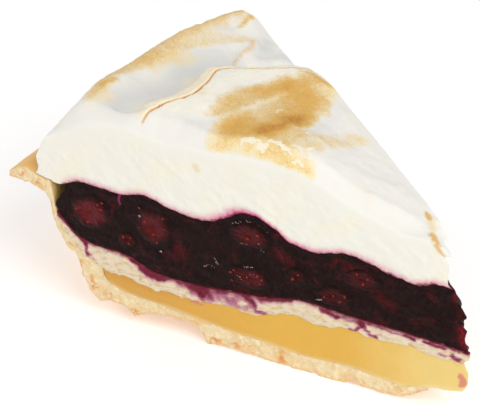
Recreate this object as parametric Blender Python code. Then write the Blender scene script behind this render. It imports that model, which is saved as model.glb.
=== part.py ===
"""A cut slice of blueberry lemon pie under tall toasted meringue.

The slice is a tenth of a round pie 25 cm across. It lies on its own flat
underside, with the tip towards +X, the rim towards -X and +Z up. The origin is
on that underside. Lengths are in millimetres until a mesh is made, in metres.

A point of the slice is given by its distance r from the pie's centre line, its
place v across the cut from the front face (0) to the far face (1), and its
height z.
"""

import math

import bmesh
import bpy
import numpy as np
from mathutils import Matrix, Vector

MM = 0.001

# The pie and the cut.
HALF_ANGLE = math.radians(18.0)
APEX_X = 60.0
TIP_HALF_WIDTH = 0.8
GAP = 0.34
FACE_EDGE_DEPTH = 12.0

# Underside of the crust on the front face: (r, z). Behind it the base is flat.
CRUST_TIP_R = 9.0
CRUST_BASE_END_R = 96.0
FRONT_UNDERSIDE = (
    (9.0, 5.0), (12.0, 2.9), (15.0, 1.2), (18.0, 0.6), (25.0, 0.5), (28.0, 1.0), (32.5, 0.0),
    (37.0, 0.3), (43.0, 0.0), (50.0, 0.0), (54.0, 0.6), (62.0, 0.8), (67.5, 0.2), (69.5, 3.0),
    (74.0, 5.2), (80.0, 4.9), (85.0, 4.0), (89.0, 2.3), (92.5, 4.8), (96.0, 4.7),
)
FLAT_UNDERSIDE = ((9.0, 5.0), (12.0, 2.9), (15.0, 1.0), (18.0, 0.0), (96.0, 0.0))

# Inner side of the crust wall, shared with the cream that lies against it: (r, z).
WALL_LINE = ((101.2, 15.6), (103.6, 17.0), (105.6, 18.9), (107.7, 21.5), (109.8, 24.9))
# Top of the rim under the foot of the meringue: (r, z).
LEDGE_LINE = ((112.2, 36.6), (114.6, 37.2), (117.4, 38.0))
# Wall and rim, foot to rim edge: (r, z) of the outer side on the front face, of
# the outer side behind it, and of the inner side.
CRUST_WALL = (
    ((96.0, 4.7), (96.0, 0.0), (96.0, 10.0)),
    ((98.6, 4.2), (99.0, 0.0), (97.5, 12.0)),
    ((101.2, 5.4), (102.2, 0.4), (98.6, 14.4)),
    ((103.2, 8.6), (104.4, 3.2), WALL_LINE[0]),
    ((104.5, 12.5), (105.8, 8.0), WALL_LINE[1]),
    ((105.0, 14.9), (106.9, 12.2), WALL_LINE[2]),
    ((107.6, 18.2), (108.4, 16.6), WALL_LINE[3]),
    ((110.4, 22.2), (110.6, 22.0), WALL_LINE[4]),
    ((112.2, 27.4), (112.2, 27.4), (110.9, 27.9)),
    ((112.5, 30.5), (112.5, 30.5), (111.4, 31.6)),
    ((113.6, 32.4), (113.6, 32.4), LEDGE_LINE[0]),
    ((115.6, 33.8), (115.6, 33.8), LEDGE_LINE[1]),
    ((118.4, 34.6), (118.4, 34.6), LEDGE_LINE[2]),
    ((121.6, 35.0), (121.6, 35.0), (120.4, 38.9)),
    ((124.4, 35.4), (124.4, 35.4), (124.6, 36.6)),
)
RIM_WANDER = 0.7
RIM_WAVES = 7.0

# Lines where two layers meet on the front face: (r, z).
CRUST_LEMON_LINE = (
    (-0.6, 8.2), (1.0, 7.4), (4.0, 6.6), (8.0, 6.0), (12.0, 4.5), (16.0, 3.7), (21.0, 4.1),
    (30.0, 4.9), (40.0, 4.4), (50.0, 5.0), (60.0, 5.6), (70.0, 6.2), (80.0, 7.5), (90.0, 8.3),
    (96.0, 10.0),
)
LEMON_CREAM_LINE = (
    (-0.6, 15.6), (6.0, 15.2), (15.0, 16.0), (24.0, 15.5), (29.0, 16.5), (37.0, 14.8),
    (44.0, 16.0), (50.0, 14.3), (55.0, 12.8), (62.0, 13.2), (70.0, 12.2), (82.0, 12.2),
    (90.0, 13.3), (97.0, 14.0), (98.6, 14.4), *WALL_LINE, (110.9, 27.9),
)
CREAM_FILLING_LINE = (
    (-0.6, 18.5), (5.0, 18.9), (13.0, 19.5), (28.0, 19.9), (42.0, 20.8), (47.0, 20.0),
    (53.0, 18.6), (60.0, 18.0), (70.0, 17.0), (76.0, 16.8), (83.0, 17.3), (89.0, 19.8),
    (94.0, 20.6), (100.0, 20.8), (104.5, 22.2), (107.6, 25.0), (110.6, 28.4),
)
FILLING_MERINGUE_LINE = (
    (4.0, 35.2), (9.0, 35.2), (14.5, 33.8), (20.0, 34.9), (31.0, 37.3), (40.0, 35.5),
    (45.0, 36.3), (49.0, 38.8), (55.0, 41.5), (58.5, 41.2), (63.0, 38.6), (69.0, 36.5),
    (76.0, 37.0), (85.5, 39.5), (91.5, 38.0), (98.0, 38.5), (103.0, 38.9), (107.4, 37.4),
    (110.0, 36.7), *LEDGE_LINE,
)
LINE_DRIFT = 5.0
LINE_DRIFT_LENGTH = 19.0
CRUMB_RELIEF = 0.45

# Ends of the layers, from the lower line to the upper one: (share of height, r).
LEMON_TIP = ((0.0, 0.4), (0.25, -0.6), (0.6, -0.5), (1.0, 1.3))
LEMON_RIM = ((0.0, 95.9), (1.0, 98.0))
CREAM_TIP = ((0.0, 1.4), (0.5, -0.2), (1.0, -0.4))
CREAM_RIM = ((0.0, 110.4), (1.0, 110.5))
FILLING_TIP = ((0.0, -0.1), (0.25, 1.2), (0.5, 3.0), (0.75, 2.6), (1.0, 4.2))
FILLING_RIM = ((0.0, 109.8), (0.25, 110.8), (0.6, 109.4), (1.0, 106.8))
MERINGUE_TIP = ((0.0, 5.2), (0.3, 6.3), (0.7, 7.4), (1.0, 6.8))
MERINGUE_RIM = ((0.0, 116.8), (0.5, 116.9), (1.0, 115.7))
# The blunt tip is broken off slantwise: how much further back it is on the far face.
TIP_SLANT = 2.4
TIP_SLANT_SHARE = 0.9

# Top of the meringue on the two cut faces, tip to rim: (r, z).
MERINGUE_FRONT = (
    (6.8, 44.8), (11.0, 47.0), (18.0, 49.7), (29.0, 53.3), (38.0, 57.4), (44.0, 59.9),
    (52.0, 60.1), (62.0, 59.8), (73.0, 59.3), (80.0, 59.1), (85.0, 59.9), (91.0, 61.0),
    (98.0, 59.8), (104.0, 57.4), (109.0, 53.8), (113.4, 48.6), (115.7, 43.8),
)
MERINGUE_FAR = (
    (13.4, 43.4), (15.6, 45.9), (20.0, 48.0), (32.0, 51.5), (44.0, 55.0), (57.0, 58.1),
    (66.0, 60.2), (71.0, 60.4), (77.0, 58.8), (81.0, 58.2), (89.0, 59.8), (98.0, 61.7),
    (104.0, 62.6), (109.0, 60.0), (113.0, 52.5), (115.7, 44.8),
)
FRONT_EDGE_DROP = 3.4
FAR_EDGE_DROP = 1.2
EDGE_DEPTH = 4.2

# The torn lip across the top, (place across the cut, r), and the swells beside it.
LIP_LINE = ((0.0, 84.5), (0.16, 82.5), (0.28, 79.8), (0.4, 80.2), (0.53, 82.6), (0.75, 77.0), (1.0, 70.0))
CREST_LINE = (
    (0.0, 0.0), (0.08, 1.2), (0.2, 3.0), (0.35, 3.7), (0.5, 4.7), (0.65, 4.3), (0.8, 3.6),
    (0.92, 1.9), (1.0, 0.6),
)
CREST_LENGTH = 12.0
VALLEY_DEPTH = 3.6
VALLEY_OFFSET = 8.0
VALLEY_LENGTH = 5.2
# Rounded swells: (r, place across the cut, height, reach along, reach across).
SWELLS = (
    (103.0, 0.19, 3.6, 6.5, 0.14),
    (95.0, 0.37, -1.4, 6.5, 0.12),
    (105.5, 0.4, 1.6, 5.0, 0.14),
    (105.0, 0.66, 2.9, 6.0, 0.2),
    (105.5, 0.92, 2.0, 6.0, 0.12),
    (85.5, 0.78, 2.6, 3.4, 0.07),
    (67.0, 0.13, -1.3, 6.0, 0.1),
    (53.0, 0.3, 1.0, 9.0, 0.16),
    (47.0, 0.72, -1.0, 8.0, 0.14),
    (24.0, 0.55, 0.9, 7.0, 0.3),
)

# Cut berries that show on a face: (r, z, half length, half height).
FRONT_BERRIES = (
    (100.6, 30.6, 6.6, 5.6), (90.3, 25.4, 3.0, 2.6), (82.3, 30.4, 6.0, 6.0), (56.0, 35.6, 6.6, 3.9),
    (56.2, 23.6, 6.6, 3.5), (43.6, 27.6, 3.4, 3.0), (34.0, 24.6, 5.8, 3.1), (27.2, 31.4, 5.6, 3.4),
)
FAR_BERRIES = (
    (97.0, 29.4, 6.2, 5.4), (79.5, 25.8, 5.6, 5.0), (64.5, 31.0, 5.8, 4.2), (49.5, 25.0, 5.8, 3.8),
    (36.5, 30.2, 5.2, 3.4), (22.5, 25.2, 4.8, 3.2),
)
BERRY_DEPTH = 4.6
BERRY_SET_BACK = 0.4
BERRY_PROUD = 0.35
BERRY_SEGMENTS = 14
BERRY_RINGS = 7

# Mesh divisions along the slice, across it, and through the layer.
CRUST_BASE_STEPS = 30
CRUST_DIVISIONS = (CRUST_BASE_STEPS + 2 * (len(CRUST_WALL) - 1), 10, 2)
LEMON_DIVISIONS = (36, 6, 2)
CREAM_DIVISIONS = (44, 8, 2)
FILLING_DIVISIONS = (42, 8, 4)
MERINGUE_DIVISIONS = (46, 14, 3)
LIP_SHARE = 31.0 / MERINGUE_DIVISIONS[0]

# Material colours: base colour, roughness.
CRUST_FINISH = ((0.78, 0.55, 0.29), 0.75)
LEMON_FINISH = ((0.80, 0.50, 0.10), 0.35)
CREAM_FINISH = ((0.86, 0.78, 0.62), 0.7)
FILLING_FINISH = ((0.035, 0.012, 0.016), 0.25)
BERRY_FINISH = ((0.12, 0.02, 0.03), 0.35)
MERINGUE_FINISH = ((0.88, 0.87, 0.82), 0.6)


def smooth_line(points):
    """Return a function that follows the points smoothly and never overshoots them."""
    x, y = (np.array(column, dtype=float) for column in zip(*points))
    step = np.diff(x)
    rise = np.diff(y) / step
    slope = np.empty_like(y)
    slope[0], slope[-1] = rise[0], rise[-1]
    product = rise[:-1] * rise[1:]
    total = rise[:-1] + rise[1:]
    safe_total = np.where(total == 0.0, 1.0, total)
    slope[1:-1] = np.where(product > 0.0, 2.0 * product / safe_total, 0.0)

    def line(at):
        at = min(max(at, x[0]), x[-1])
        i = min(int(np.searchsorted(x, at, side="right")) - 1, len(step) - 1)
        t = (at - x[i]) / step[i]
        start = y[i] * (1.0 + 2.0 * t) * (1.0 - t) ** 2 + slope[i] * step[i] * t * (1.0 - t) ** 2
        end = y[i + 1] * t * t * (3.0 - 2.0 * t) + slope[i + 1] * step[i] * t * t * (t - 1.0)
        return float(start + end)

    return line


def smooth_outline(points):
    """Return a function from a share of the outline's points, 0 to 1, to (r, z)."""
    place = np.linspace(0.0, 1.0, len(points))
    along = smooth_line(list(zip(place, (r for r, z in points))))
    height = smooth_line(list(zip(place, (z for r, z in points))))
    return lambda t: (along(t), height(t))


def mix(a, b, t):
    return a + (b - a) * t


def ease(t):
    """Rise smoothly from 0 to 1 while t goes from 0 to 1."""
    t = min(max(t, 0.0), 1.0)
    return t * t * (3.0 - 2.0 * t)


def bell(t):
    return math.exp(-t * t)


def place(r, v, z, proud=0.0):
    """Return the point in metres; proud moves it out of the cut face it lies on."""
    angle = mix(-HALF_ANGLE, HALF_ANGLE, v)
    side = 2.0 * v - 1.0
    x = APEX_X - r * math.cos(angle) + proud * math.sin(HALF_ANGLE)
    y = r * math.sin(angle) + side * (TIP_HALF_WIDTH + proud * math.cos(HALF_ANGLE))
    return Vector((x * MM, y * MM, z * MM))


def slanted(tip_r, v):
    return tip_r + v * (TIP_SLANT + TIP_SLANT_SHARE * tip_r)


def depth_behind(r, v):
    """Distance from the front face, measured along the arc at r."""
    return max(r, 0.0) * 2.0 * HALF_ANGLE * v


def crumb(r, z, seed):
    """Uneven relief between -1 and 1 over a cut face."""
    coarse = math.sin(0.61 * r + 1.9 * seed) * math.sin(0.83 * z + 0.7 * seed)
    fine = math.sin(1.37 * r - 0.9 * z + 2.3 * seed) * math.cos(1.1 * z + 0.5 * r + seed)
    return 0.6 * coarse + 0.4 * fine


def layer_line(points):
    """Return height as a function of r and v: the front face's line, drifting across the cut."""
    front = smooth_line(points)

    def line(r, v):
        drift = LINE_DRIFT * v * math.sin(r / LINE_DRIFT_LENGTH) * ease((CRUST_BASE_END_R - r) / 14.0)
        return front(r + drift)

    return line


crust_lemon = layer_line(CRUST_LEMON_LINE)
lemon_cream = layer_line(LEMON_CREAM_LINE)
cream_filling = layer_line(CREAM_FILLING_LINE)
filling_meringue = layer_line(FILLING_MERINGUE_LINE)


lip_line = smooth_line(LIP_LINE)
crest_line = smooth_line(CREST_LINE)


def clear_of(line, r, v, share):
    """Height of the line, kept clear by a share of the gap measured square to it."""
    slope = line(r + 0.5, v) - line(r - 0.5, v)
    return line(r, v) + share * GAP * math.hypot(1.0, slope)


def block(divisions, shape):
    """Make a closed block in 0 to 1 coordinates, divided on each axis, and map it by shape.

    A shape runs from the tip towards -X, so it mirrors the block and the faces are turned back.
    """
    mesh = bmesh.new()
    bmesh.ops.create_cube(mesh, size=1.0, matrix=Matrix.Translation((0.5, 0.5, 0.5)))
    for axis, count in enumerate(divisions):
        edges = [e for e in mesh.edges if abs(e.verts[1].co[axis] - e.verts[0].co[axis]) > 0.99]
        if count > 1:
            bmesh.ops.subdivide_edges(mesh, edges=edges, cuts=count - 1, use_grid_fill=True)
    for vert in mesh.verts:
        vert.co = shape(*vert.co)
    bmesh.ops.reverse_faces(mesh, faces=mesh.faces)
    return mesh


def material(name, finish):
    colour, roughness = finish
    made = bpy.data.materials.new(name)
    made.use_nodes = True
    shader = made.node_tree.nodes["Principled BSDF"]
    shader.inputs["Base Color"].default_value = (*colour, 1.0)
    shader.inputs["Roughness"].default_value = roughness
    shader.inputs["Metallic"].default_value = 0.0
    return made


def add_object(name, mesh, finish, collection):
    """Turn a bmesh into a named object of the collection."""
    data = bpy.data.meshes.new(name)
    mesh.to_mesh(data)
    mesh.free()
    data.materials.append(finish)
    made = bpy.data.objects.new(name, data)
    collection.objects.link(made)
    return made


def layer(lower, upper, tip, rim):
    """Return the mapping of a block onto a layer between two height functions."""
    tip_line, rim_line = smooth_line(tip), smooth_line(rim)

    def shape(u, v, w):
        r = mix(slanted(tip_line(w), v), rim_line(w), u)
        low = clear_of(lower, r, v, 0.5)
        high = clear_of(upper, r, v, -0.5)
        return place(r, v, mix(low, high, w))

    return shape


def crust_shape():
    """Return the mapping of the crust: along its base, up its wall and out to the rim edge."""
    front_base = smooth_line(FRONT_UNDERSIDE)
    flat_base = smooth_line(FLAT_UNDERSIDE)
    front_outer, back_outer, inner = (smooth_outline(side) for side in zip(*CRUST_WALL))
    base_share = CRUST_BASE_STEPS / CRUST_DIVISIONS[0]

    def section(u, v):
        if u <= base_share:
            r = mix(slanted(CRUST_TIP_R, v), CRUST_BASE_END_R, u / base_share)
            behind = ease(depth_behind(r, v) / FACE_EDGE_DEPTH)
            low = mix(front_base(r), flat_base(r), behind)
            return (r, low), (r, clear_of(crust_lemon, r, v, -0.5))
        t = (u - base_share) / (1.0 - base_share)
        behind = ease(depth_behind(CRUST_BASE_END_R, v) / FACE_EDGE_DEPTH)
        front, back = front_outer(t), back_outer(t)
        outer = (mix(front[0], back[0], behind), mix(front[1], back[1], behind))
        near, far = inner(max(t - 0.01, 0.0)), inner(min(t + 0.01, 1.0))
        length = math.hypot(far[0] - near[0], far[1] - near[1])
        side = 0.5 * GAP / length
        inside = inner(t)
        return outer, (inside[0] + side * (far[1] - near[1]), inside[1] - side * (far[0] - near[0]))

    def shape(u, v, w):
        outer, inside = section(u, v)
        r = mix(outer[0], inside[0], w)
        z = mix(outer[1], inside[1], w)
        on_rim = ease((r - 117.8) / 5.0)
        wander = on_rim * RIM_WANDER * math.sin(RIM_WAVES * v + 0.6) * v
        relief = CRUMB_RELIEF * crumb(r, z, 1.0) * ease(z / 3.0)
        on_face = 1.0 if v in (0.0, 1.0) else 0.0
        return place(r + wander, v, z + 0.6 * wander, on_face * relief)

    return shape


def meringue_swell(r, v):
    """Height that the lip, the valley behind it and the soft swells add to the meringue."""
    beyond = r - lip_line(v)
    across = ease(v / 0.12) * ease((1.0 - v) / 0.12)
    height = crest_line(v) * bell(min(beyond, 0.0) / CREST_LENGTH) * ease((2.0 - beyond) / 3.0)
    height -= across * VALLEY_DEPTH * bell((beyond - VALLEY_OFFSET) / VALLEY_LENGTH)
    for centre_r, centre_v, rise, reach_r, reach_v in SWELLS:
        height += rise * bell((r - centre_r) / reach_r) * bell((v - centre_v) / reach_v)
    return height


def meringue_shape():
    """Return the mapping of the meringue between the filling and its swelling top."""
    front_top, far_top = smooth_outline(MERINGUE_FRONT), smooth_outline(MERINGUE_FAR)
    tip_line, rim_line = smooth_line(MERINGUE_TIP), smooth_line(MERINGUE_RIM)

    def open_top(u, v):
        front, far = front_top(u), far_top(u)
        return mix(front[0], far[0], ease(v)), mix(front[1], far[1], ease(v))

    def follow_lip(u, v):
        """Move the divisions along the slice so that one of them runs along the torn lip."""
        low, high = 0.0, 1.0
        while high - low > 1e-5:
            middle = 0.5 * (low + high)
            low, high = (middle, high) if open_top(middle, v)[0] < lip_line(v) else (low, middle)
        if u < LIP_SHARE:
            return u * low / LIP_SHARE
        return 1.0 - (1.0 - u) * (1.0 - low) / (1.0 - LIP_SHARE)

    def top(u, v):
        r, z = open_top(follow_lip(u, v), v)
        ends = ease((r - 8.0) / 12.0) * ease((114.0 - r) / 8.0)
        near = 1.0 - ease(depth_behind(r, v) / EDGE_DEPTH)
        away = 1.0 - ease(depth_behind(r, 1.0 - v) / EDGE_DEPTH)
        drop = near * FRONT_EDGE_DROP + away * FAR_EDGE_DROP
        return r, z + ends * (meringue_swell(r, v) - drop)

    def shape(u, v, w):
        r_low = mix(slanted(tip_line(0.0), v), rim_line(0.0), u)
        low = clear_of(filling_meringue, r_low, v, mix(0.5, 1.2, ease(r_low - 111.0)))
        r_high, high = top(u, v)
        bulge = mix(tip_line(w) - mix(tip_line(0.0), tip_line(1.0), w),
                    rim_line(w) - mix(rim_line(0.0), rim_line(1.0), w), u)
        return place(mix(r_low, r_high, w) + bulge, v, mix(low, high, w))

    return shape


def berry_mesh(spot, v, grown):
    """Return an ellipsoid round a spot of a cut face, grown on all sides."""
    r, z, half_length, half_height = spot
    radial = place(r, v, z) - place(r + 1.0, v, z)
    radial.normalize()
    up = Vector((0.0, 0.0, 1.0))
    outward = up.cross(radial) if v > 0.5 else radial.cross(up)
    sizes = Matrix.Diagonal(((half_length + grown) * MM, (BERRY_DEPTH + grown) * MM,
                             (half_height + grown) * MM, 1.0))
    turn = Matrix((radial, outward, up)).transposed().to_4x4()
    centre = place(r, v, z) - outward * (BERRY_SET_BACK * MM)
    mesh = bmesh.new()
    bmesh.ops.create_uvsphere(mesh, u_segments=BERRY_SEGMENTS, v_segments=BERRY_RINGS, radius=1.0,
                              matrix=Matrix.Translation(centre) @ turn @ sizes)
    bmesh.ops.recalc_face_normals(mesh, faces=mesh.faces)
    return mesh, place(r, v, z), outward


def add_berry(name, spot, v, finish, parts, cutters):
    """Add a cut berry and return the cutter that makes its socket."""
    mesh, on_face, outward = berry_mesh(spot, v, 0.0)
    geometry = mesh.verts[:] + mesh.edges[:] + mesh.faces[:]
    cut = bmesh.ops.bisect_plane(mesh, geom=geometry, plane_co=on_face + outward * (BERRY_PROUD * MM),
                                 plane_no=outward, clear_outer=True)
    rim = [item for item in cut["geom_cut"] if isinstance(item, bmesh.types.BMEdge)]
    bmesh.ops.holes_fill(mesh, edges=rim)
    bmesh.ops.recalc_face_normals(mesh, faces=mesh.faces)
    add_object(name, mesh, finish, parts)
    socket = add_object("socket_" + name, berry_mesh(spot, v, GAP)[0], finish, cutters)
    socket.hide_render = True
    socket.display_type = "WIRE"
    return socket


def new_collection(name):
    made = bpy.data.collections.new(name)
    bpy.context.scene.collection.children.link(made)
    return made


def build():
    for old in list(bpy.data.objects):
        bpy.data.objects.remove(old, do_unlink=True)
    parts = new_collection("blueberry_lemon_pie_slice")
    cutters = new_collection("cutters")

    add_object("crust", block(CRUST_DIVISIONS, crust_shape()), material("baked_crust", CRUST_FINISH), parts)
    lemon = layer(crust_lemon, lemon_cream, LEMON_TIP, LEMON_RIM)
    add_object("lemon_filling", block(LEMON_DIVISIONS, lemon), material("lemon", LEMON_FINISH), parts)
    cream = layer(lemon_cream, cream_filling, CREAM_TIP, CREAM_RIM)
    add_object("cream_layer", block(CREAM_DIVISIONS, cream), material("cream", CREAM_FINISH), parts)
    fruit = layer(cream_filling, filling_meringue, FILLING_TIP, FILLING_RIM)
    filling = add_object("blueberry_filling", block(FILLING_DIVISIONS, fruit),
                         material("blueberry_gel", FILLING_FINISH), parts)
    add_object("meringue", block(MERINGUE_DIVISIONS, meringue_shape()),
               material("meringue", MERINGUE_FINISH), parts)

    berry_skin = material("cut_berry", BERRY_FINISH)
    for face, v, berries in (("front", 0.0, FRONT_BERRIES), ("far", 1.0, FAR_BERRIES)):
        for number, spot in enumerate(berries, start=1):
            name = f"berry_{face}_{number}"
            socket = filling.modifiers.new("socket_" + name, "BOOLEAN")
            socket.operation = "DIFFERENCE"
            socket.solver = "EXACT"
            socket.object = add_berry(name, spot, v, berry_skin, parts, cutters)


build()
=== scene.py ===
"""Blueberry lemon pie: one cut wedge under tall toasted meringue.

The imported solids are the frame. Every layer and berry is replaced by a finely modelled piece
of the same form. A point of the slice is given, as in the solids, by its distance r from the
pie's centre line, its place v across the cut from the front face (0) to the far face (1), and
its height z. These are in millimetres until a mesh is made.
"""

import math
import random

import bmesh
import bpy
import numpy as np
from bpy.props import FloatProperty, FloatVectorProperty, IntProperty, PointerProperty
from mathutils import Matrix, Vector, noise


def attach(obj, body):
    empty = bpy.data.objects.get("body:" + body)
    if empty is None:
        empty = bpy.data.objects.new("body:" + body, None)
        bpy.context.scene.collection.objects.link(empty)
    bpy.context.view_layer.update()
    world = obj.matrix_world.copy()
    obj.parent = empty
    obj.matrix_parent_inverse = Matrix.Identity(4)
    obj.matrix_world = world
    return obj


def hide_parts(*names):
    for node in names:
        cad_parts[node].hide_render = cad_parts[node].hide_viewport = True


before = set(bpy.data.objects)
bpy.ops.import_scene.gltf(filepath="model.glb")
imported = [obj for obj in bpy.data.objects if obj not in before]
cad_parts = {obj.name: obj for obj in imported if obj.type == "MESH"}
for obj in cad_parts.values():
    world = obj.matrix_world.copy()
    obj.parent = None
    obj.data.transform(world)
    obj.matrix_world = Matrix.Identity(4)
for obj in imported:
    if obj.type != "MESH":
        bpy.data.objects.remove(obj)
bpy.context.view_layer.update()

bl_info = {
    "name": "Blueberry lemon pie slice",
    "version": (1, 0, 0),
    "blender": (4, 5, 0),
    "location": "3D View > Sidebar > Pie",
    "description": "Models a cut slice of blueberry lemon pie over its packed solids",
    "category": "Object",
}

MM = 0.001

# The pie and the cut.
HALF_ANGLE = math.radians(18.0)
APEX_X = 60.0
TIP_HALF_WIDTH = 0.8
FACE_EDGE_DEPTH = 12.0

# Underside of the crust on the front face: (r, z). Behind it the base is flat.
CRUST_TIP_R = 9.0
CRUST_BASE_END_R = 96.0
FRONT_UNDERSIDE = (
    (9.0, 5.0), (12.0, 2.9), (15.0, 1.2), (18.0, 0.6), (25.0, 0.5), (28.0, 1.0), (32.5, 0.0),
    (37.0, 0.3), (43.0, 0.0), (50.0, 0.0), (54.0, 0.6), (62.0, 0.8), (67.5, 0.2), (69.5, 3.0),
    (74.0, 5.2), (80.0, 4.9), (85.0, 4.0), (89.0, 2.3), (92.5, 4.8), (96.0, 4.7),
)
FLAT_UNDERSIDE = ((9.0, 5.0), (12.0, 2.9), (15.0, 1.0), (18.0, 0.0), (96.0, 0.0))

# Inner side of the crust wall, and the top of the rim under the foot of the meringue: (r, z).
WALL_LINE = ((101.2, 15.6), (103.6, 17.0), (105.6, 18.9), (107.7, 21.5), (109.8, 24.9))
LEDGE_LINE = ((112.2, 36.6), (114.6, 37.2), (117.4, 38.0))
# Wall and rim, foot to rim edge: (r, z) of the outer side on the front face, of
# the outer side behind it, and of the inner side.
CRUST_WALL = (
    ((96.0, 4.7), (96.0, 0.0), (96.0, 10.0)),
    ((98.6, 4.2), (99.0, 0.0), (97.5, 12.0)),
    ((101.2, 5.4), (102.2, 0.4), (98.6, 14.4)),
    ((103.2, 8.6), (104.4, 3.2), WALL_LINE[0]),
    ((104.5, 12.5), (105.8, 8.0), WALL_LINE[1]),
    ((105.0, 14.9), (106.9, 12.2), WALL_LINE[2]),
    ((107.6, 18.2), (108.4, 16.6), WALL_LINE[3]),
    ((110.4, 22.2), (110.6, 22.0), WALL_LINE[4]),
    ((112.2, 27.4), (112.2, 27.4), (110.9, 27.9)),
    ((112.5, 30.5), (112.5, 30.5), (111.4, 31.6)),
    ((113.6, 32.4), (113.6, 32.4), LEDGE_LINE[0]),
    ((115.6, 33.8), (115.6, 33.8), LEDGE_LINE[1]),
    ((118.4, 34.6), (118.4, 34.6), LEDGE_LINE[2]),
    ((121.6, 35.0), (121.6, 35.0), (120.4, 38.9)),
    ((124.4, 35.4), (124.4, 35.4), (124.6, 36.6)),
)
# The rim edge wanders in and out across the cut, from this r outwards.
RIM_WANDER = 0.7
RIM_WAVES = 7.0
RIM_START_R = 117.8
RIM_FADE = 5.0
# Further out than this the inner side of the crust is bare.
COVERED_END_R = 109.0
COVERED_FADE = 3.0

# Lines where two layers meet on the front face: (r, z).
CRUST_LEMON_LINE = (
    (-0.6, 8.2), (1.0, 7.4), (4.0, 6.6), (8.0, 6.0), (12.0, 4.5), (16.0, 3.7), (21.0, 4.1),
    (30.0, 4.9), (40.0, 4.4), (50.0, 5.0), (60.0, 5.6), (70.0, 6.2), (80.0, 7.5), (90.0, 8.3),
    (96.0, 10.0),
)
LEMON_CREAM_LINE = (
    (-0.6, 15.6), (6.0, 15.2), (15.0, 16.0), (24.0, 15.5), (29.0, 16.5), (37.0, 14.8),
    (44.0, 16.0), (50.0, 14.3), (55.0, 12.8), (62.0, 13.2), (70.0, 12.2), (82.0, 12.2),
    (90.0, 13.3), (97.0, 14.0), (98.6, 14.4), *WALL_LINE, (110.9, 27.9),
)
CREAM_FILLING_LINE = (
    (-0.6, 18.5), (5.0, 18.9), (13.0, 19.5), (28.0, 19.9), (42.0, 20.8), (47.0, 20.0),
    (53.0, 18.6), (60.0, 18.0), (70.0, 17.0), (76.0, 16.8), (83.0, 17.3), (89.0, 19.8),
    (94.0, 20.6), (100.0, 20.8), (104.5, 22.2), (107.6, 25.0), (110.6, 28.4),
)
FILLING_MERINGUE_LINE = (
    (4.0, 35.2), (9.0, 35.2), (14.5, 33.8), (20.0, 34.9), (31.0, 37.3), (40.0, 35.5),
    (45.0, 36.3), (49.0, 38.8), (55.0, 41.5), (58.5, 41.2), (63.0, 38.6), (69.0, 36.5),
    (76.0, 37.0), (85.5, 39.5), (91.5, 38.0), (98.0, 38.5), (103.0, 38.9), (107.4, 37.4),
    (110.0, 36.7), *LEDGE_LINE,
)
# Across the cut the lines drift along by this much, in waves of this length, and not at the wall.
LINE_DRIFT = 5.0
LINE_DRIFT_LENGTH = 19.0
LINE_DRIFT_FADE = 14.0

# Ends of the layers, from the lower line to the upper one: (share of height, r).
LEMON_TIP = ((0.0, 0.4), (0.25, -0.6), (0.6, -0.5), (1.0, 1.3))
LEMON_RIM = ((0.0, 95.9), (1.0, 98.0))
CREAM_TIP = ((0.0, 1.4), (0.5, -0.2), (1.0, -0.4))
CREAM_RIM = ((0.0, 110.4), (1.0, 110.5))
FILLING_TIP = (
    (0.0, -0.1), (0.1, 0.5), (0.23, 1.0), (0.39, 0.7), (0.45, 3.7), (0.49, 3.5), (0.58, 1.1),
    (0.7, 2.2), (0.85, 3.9), (1.0, 4.6),
)
FILLING_RIM = ((0.0, 109.8), (0.25, 110.8), (0.6, 109.4), (1.0, 106.8))
FILLING_FAR_CORNER = 2.6
MERINGUE_TIP = (
    (0.0, 5.0), (0.12, 6.2), (0.32, 6.4), (0.55, 6.1), (0.72, 7.0), (0.80, 8.0), (0.88, 6.0),
    (0.93, 5.5), (1.0, 6.6),
)
MERINGUE_RIM = ((0.0, 116.6), (0.15, 115.7), (0.5, 115.3), (1.0, 115.5))
# The blunt tip is broken off slantwise: how much further back it is on the far face.
TIP_SLANT = 2.4
TIP_SLANT_SHARE = 0.9

# Top of the meringue on the two cut faces, tip to rim: (r, z).
MERINGUE_FRONT = (
    (6.8, 44.8), (11.0, 47.0), (18.0, 49.7), (29.0, 53.3), (38.0, 57.4), (44.0, 59.9),
    (52.0, 60.1), (62.0, 59.8), (73.0, 59.3), (80.0, 59.1), (85.0, 59.9), (91.0, 61.0),
    (98.0, 59.8), (104.0, 57.4), (109.0, 53.8), (113.4, 48.6), (115.7, 43.8),
)
MERINGUE_FAR = (
    (13.4, 43.4), (15.6, 45.9), (20.0, 48.0), (32.0, 51.5), (44.0, 55.0), (57.0, 58.1),
    (66.0, 60.2), (71.0, 60.4), (77.0, 58.8), (81.0, 58.2), (89.0, 59.8), (98.0, 61.7),
    (104.0, 62.6), (109.0, 60.0), (113.0, 52.5), (115.7, 44.8),
)
# How far the top drops at the two cut edges, and how far in from them the drop begins.
FRONT_EDGE_DROP = 3.4
FAR_EDGE_DROP = 1.2
EDGE_DEPTH = 4.2

# The torn lip across the top, (place across the cut, r), and the swells beside it.
LIP_LINE = (
    (0.0, 84.5), (0.16, 82.5), (0.28, 79.8), (0.4, 80.2), (0.53, 82.6), (0.75, 77.0), (1.0, 70.0),
)
CREST_LINE = (
    (0.0, 0.0), (0.08, 1.2), (0.2, 3.0), (0.35, 3.7), (0.5, 4.7), (0.65, 4.3), (0.8, 3.6),
    (0.92, 1.9), (1.0, 0.6),
)
CREST_LENGTH = 12.0
# Behind the lip the top falls away, sooner and shorter where it is steep: (gentle, steep) in mm.
LIP_FALL = (6.4, 3.2)
LIP_FALL_LENGTH = (5.8, 4.2)
# It turns steep from this place across the cut, within this span.
STEEP_START = 0.3
STEEP_SPAN = 0.2
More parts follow.
